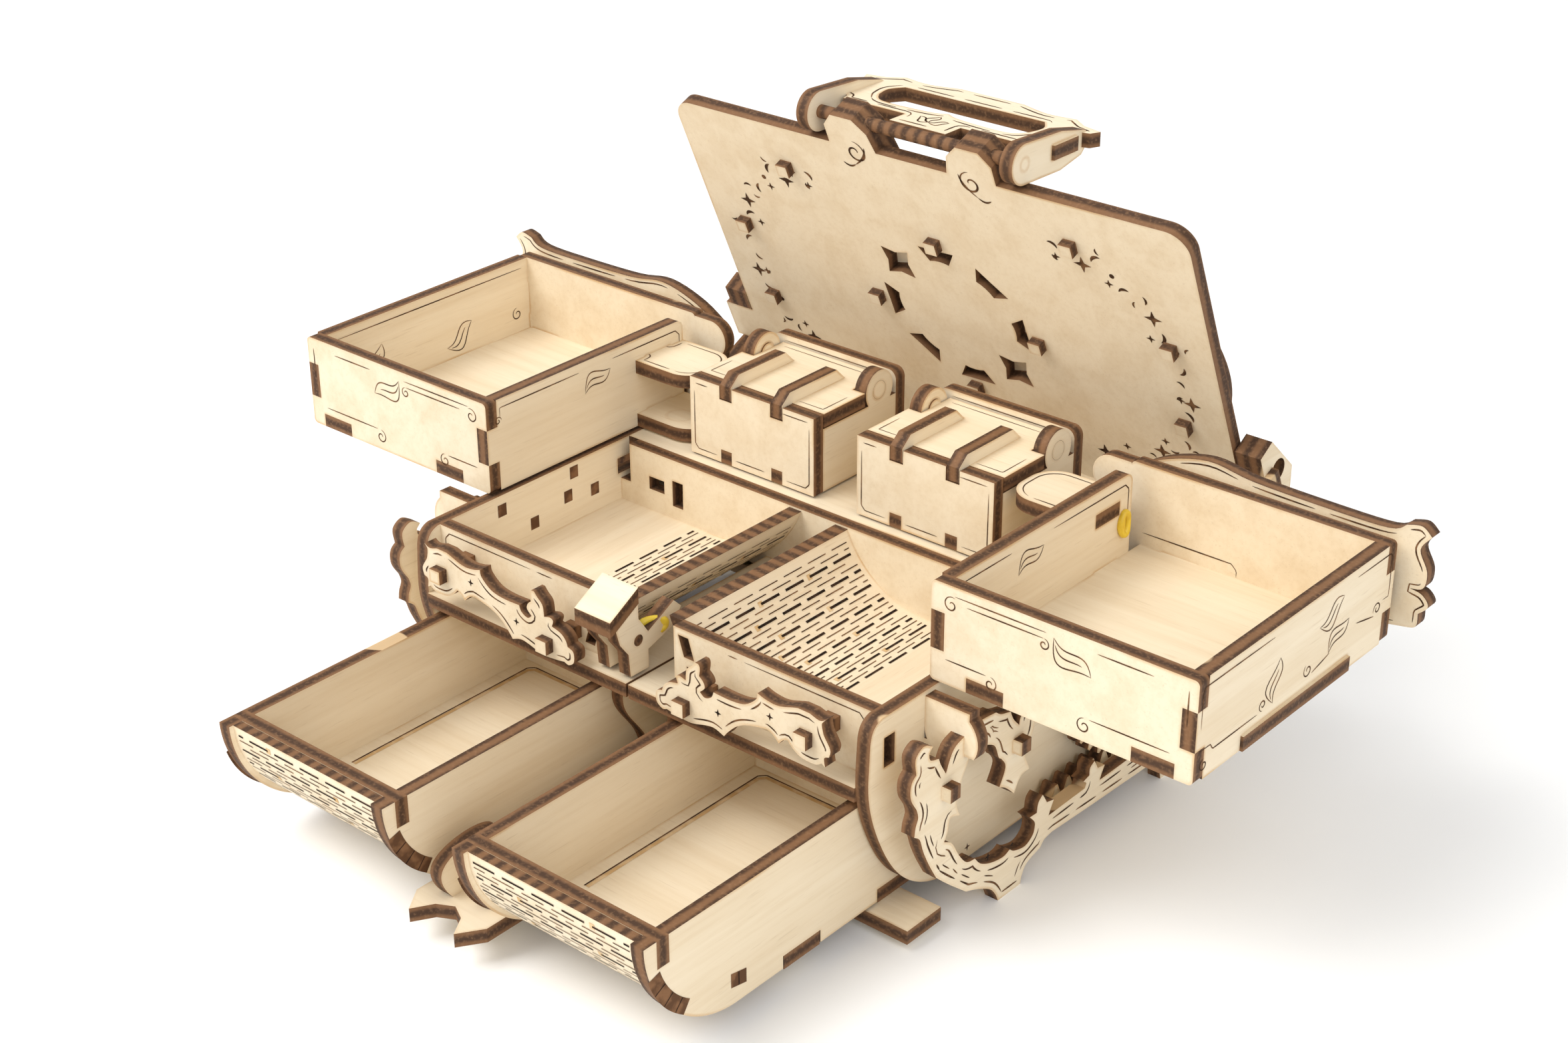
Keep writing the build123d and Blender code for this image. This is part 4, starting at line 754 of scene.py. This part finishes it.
for hand, s in HANDS:
    slit_band(f"slits_drawer_{hand}", "carriage", front_rows(f"drawer_skin_{hand}"), 13.4, 51.2, across_x(s),
              (0.00040, HAIR))
    top = on_top(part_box("drawer_floors")[1][2] / MM, s)
    stroke_piece(f"border_drawer_{hand}", "carriage", [straight(top, *corners)], UP, THIN, taper=False)
    stroke_piece(f"border_drawer_glow_{hand}", "carriage", [straight(top, *glow)], UP, GLOW_WIDTH, SCORCH,
                 taper=False)
    for x, way, side_tag in ((DRAWER_OUT, 1, "out"), (DRAWER_IN, -1, "in")):
        face = on_side(x, s)
        outward = (s * way, 0, 0)
        turns = np.linspace(math.radians(196), math.radians(236), 12)
        ring = [slot_point(face, SLOT_OUT, t) for t in turns]
        ring += [slot_point(face, SLOT_IN, t) for t in turns[::-1]]
        short = [face(a, b) for a, b in ((-87.4, 9.0), (-83.4, 8.2), (-83.4, 11.2), (-87.4, 12.0))]
        patch_piece(f"tenons_drawer_{hand}_{side_tag}", "carriage", [ring, short], outward, TENON)
        # Black hairlines between the tenon ends: char and painted shade in the gaps.
        bars = [np.array([slot_point(face, 17.7, t), slot_point(face, 20.5, t)]) for t in turns[3::3]]
        bars.append(np.array([face(-85.4, 8.7), face(-85.4, 11.5)]))
        bars = [run + np.array(outward) * LINE_LIFT for run in bars]
        stroke_piece(f"tenon_lines_{hand}_{side_tag}", "carriage", bars, outward, HAIR, CHAR_AND_GAP_SHADE, False)

# Rubber bands: yellow elastic loops that pull the latch and the trays, seen at their ends where they hook on.
BAND_WIRE = 0.00075
YELLOW, YELLOW_DULL = (0.83, 0.60, 0.045, 1.0), (0.70, 0.47, 0.03, 1.0)


def rubber_band(name, body, centre, long_way, short_way, length, breadth):
    """Closed loop: a ring stretched along one way, with a round section that runs along it."""
    long_way, short_way = np.array(long_way, float), np.array(short_way, float)
    third = np.cross(long_way, short_way)
    turns, rounds = 36, 8
    points, faces = [], []
    for t in np.linspace(0, 2 * math.pi, turns, endpoint=False):
        middle = np.array(centre) + long_way * length / 2 * math.cos(t)
        middle = middle + short_way * breadth / 2 * math.sin(t)
        outward = long_way * breadth * math.cos(t) + short_way * length * math.sin(t)
        outward /= np.linalg.norm(outward)
        for q in np.linspace(0, 2 * math.pi, rounds, endpoint=False):
            wire = BAND_WIRE * (1.0 + 0.12 * math.sin(3 * t))
            points.append(middle + wire * (outward * math.cos(q) + third * math.sin(q)))
    for n in range(turns):
        for k in range(rounds):
            a, b = n * rounds + k, n * rounds + (k + 1) % rounds
            c, d = (n + 1) % turns * rounds + (k + 1) % rounds, (n + 1) % turns * rounds + k
            faces.append((a, d, c, b))
    mesh = bpy.data.meshes.new(name)
    mesh.from_pydata([tuple(p) for p in points], [], faces)
    mesh.update()
    mesh.polygons.foreach_set("use_smooth", [True] * len(mesh.polygons))
    piece = bpy.data.objects.new(name, mesh)
    bpy.context.scene.collection.objects.link(piece)
    mesh.materials.append(RUBBER)
    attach(piece, body)


def rubber_material():
    """Yellow rubber, a little duller in clouds, half glossy."""
    mat = bpy.data.materials.new("yellow_rubber")
    mat.use_nodes = True
    tree = mat.node_tree
    shader = tree.nodes["Principled BSDF"]
    cloud = noise(tree, add(tree, "ShaderNodeTexCoord").outputs["Object"], 420.0, 3.0)
    colour = mix(tree, band(tree, cloud, 0.35, 0.7), YELLOW, YELLOW_DULL)
    tree.links.new(colour, shader.inputs["Base Color"])
    shader.inputs["Roughness"].default_value = 0.42
    bump = add(tree, "ShaderNodeBump", (("Height", cloud), ("Strength", 0.2), ("Distance", 0.0001)))
    tree.links.new(bump.outputs[0], shader.inputs["Normal"])
    return mat


RUBBER = rubber_material()
BAND_ON_LATCH, LATCH_WAY = (-0.0015, -0.0455, 0.0425), (0.5, 0.866, 0.0)
BAND_ON_TRAY = (0.0607, 0.0212, 0.0588)
rubber_band("rubber_band_latch", "case", BAND_ON_LATCH, LATCH_WAY, Z_AXIS, 0.0052, 0.0030)
for hand, s in HANDS:
    x, y, z = BAND_ON_TRAY
    rubber_band(f"rubber_band_tray_{hand}", f"tray_{hand}", (s * x, y, z), Z_AXIS, Y_AXIS, 0.0046, 0.0022)

# Floor and light: a white surface, a large soft light above and a weaker one from the right.
floor_mesh = bpy.data.meshes.new("studio_floor")
reach = 6.0
floor_corners = [(-reach, -reach, 0), (reach, -reach, 0), (reach, reach, 0), (-reach, reach, 0)]
floor_mesh.from_pydata(floor_corners, [], [(0, 1, 2, 3)])
studio_floor = bpy.data.objects.new("studio_floor", floor_mesh)
bpy.context.scene.collection.objects.link(studio_floor)
floor_mat = bpy.data.materials.new("studio_floor")
floor_mat.use_nodes = True
floor_mat.node_tree.nodes["Principled BSDF"].inputs["Base Color"].default_value = (0.93, 0.93, 0.925, 1.0)
floor_mat.node_tree.nodes["Principled BSDF"].inputs["Roughness"].default_value = 0.9
floor_mesh.materials.append(floor_mat)


def area_light(name, place, target, size, power, colour=(1.0, 1.0, 1.0)):
    """Square soft light at place, aimed at target."""
    data = bpy.data.lights.new(name, "AREA")
    data.size = size
    data.energy = power
    data.color = colour
    light = bpy.data.objects.new(name, data)
    bpy.context.scene.collection.objects.link(light)
    light.location = place
    way = np.array(target) - np.array(place)
    way = way / np.linalg.norm(way)
    light.rotation_euler = (math.acos(-way[2]), 0.0, math.atan2(way[1], way[0]) - math.pi / 2)


area_light("key", (-0.55, -0.75, 1.15), (0.0, 0.0, 0.04), 0.9, 17.0, (1.0, 0.985, 0.96))
area_light("fill", (0.95, -0.55, 0.7), (0.0, 0.0, 0.05), 1.1, 5.0, (0.96, 0.98, 1.0))
world = bpy.data.worlds.new("studio")
world.use_nodes = True
world.node_tree.nodes["Background"].inputs[0].default_value = (1.0, 1.0, 1.0, 1.0)
world.node_tree.nodes["Background"].inputs[1].default_value = 0.78
bpy.context.scene.world = world
bpy.context.scene.view_settings.view_transform = "Standard"

# Camera, at the angle and distance of a product shot from the front right, above the table.
CAMERA_PLACE = (0.29865, -0.35296, 0.28454)
CAMERA_WAY = (-0.58307, 0.67231, -0.45611)
CAMERA_RIGHT = (0.75735, 0.65298, -0.00568)
camera_data = bpy.data.cameras.new("camera")
camera_data.lens = 58.95
camera_data.sensor_width = 36.0
camera = bpy.data.objects.new("camera", camera_data)
bpy.context.scene.collection.objects.link(camera)
camera_back = -np.array(CAMERA_WAY) / np.linalg.norm(CAMERA_WAY)
camera_right = np.array(CAMERA_RIGHT) - np.dot(CAMERA_RIGHT, camera_back) * camera_back
camera_right = camera_right / np.linalg.norm(camera_right)
camera_up = np.cross(camera_back, camera_right)
camera_axes = np.stack([camera_right, camera_up, camera_back], axis=1)
turned = mathutils.Matrix(camera_axes.tolist()).to_4x4()
camera.matrix_world = mathutils.Matrix.Translation(CAMERA_PLACE) @ turned
bpy.context.scene.camera = camera
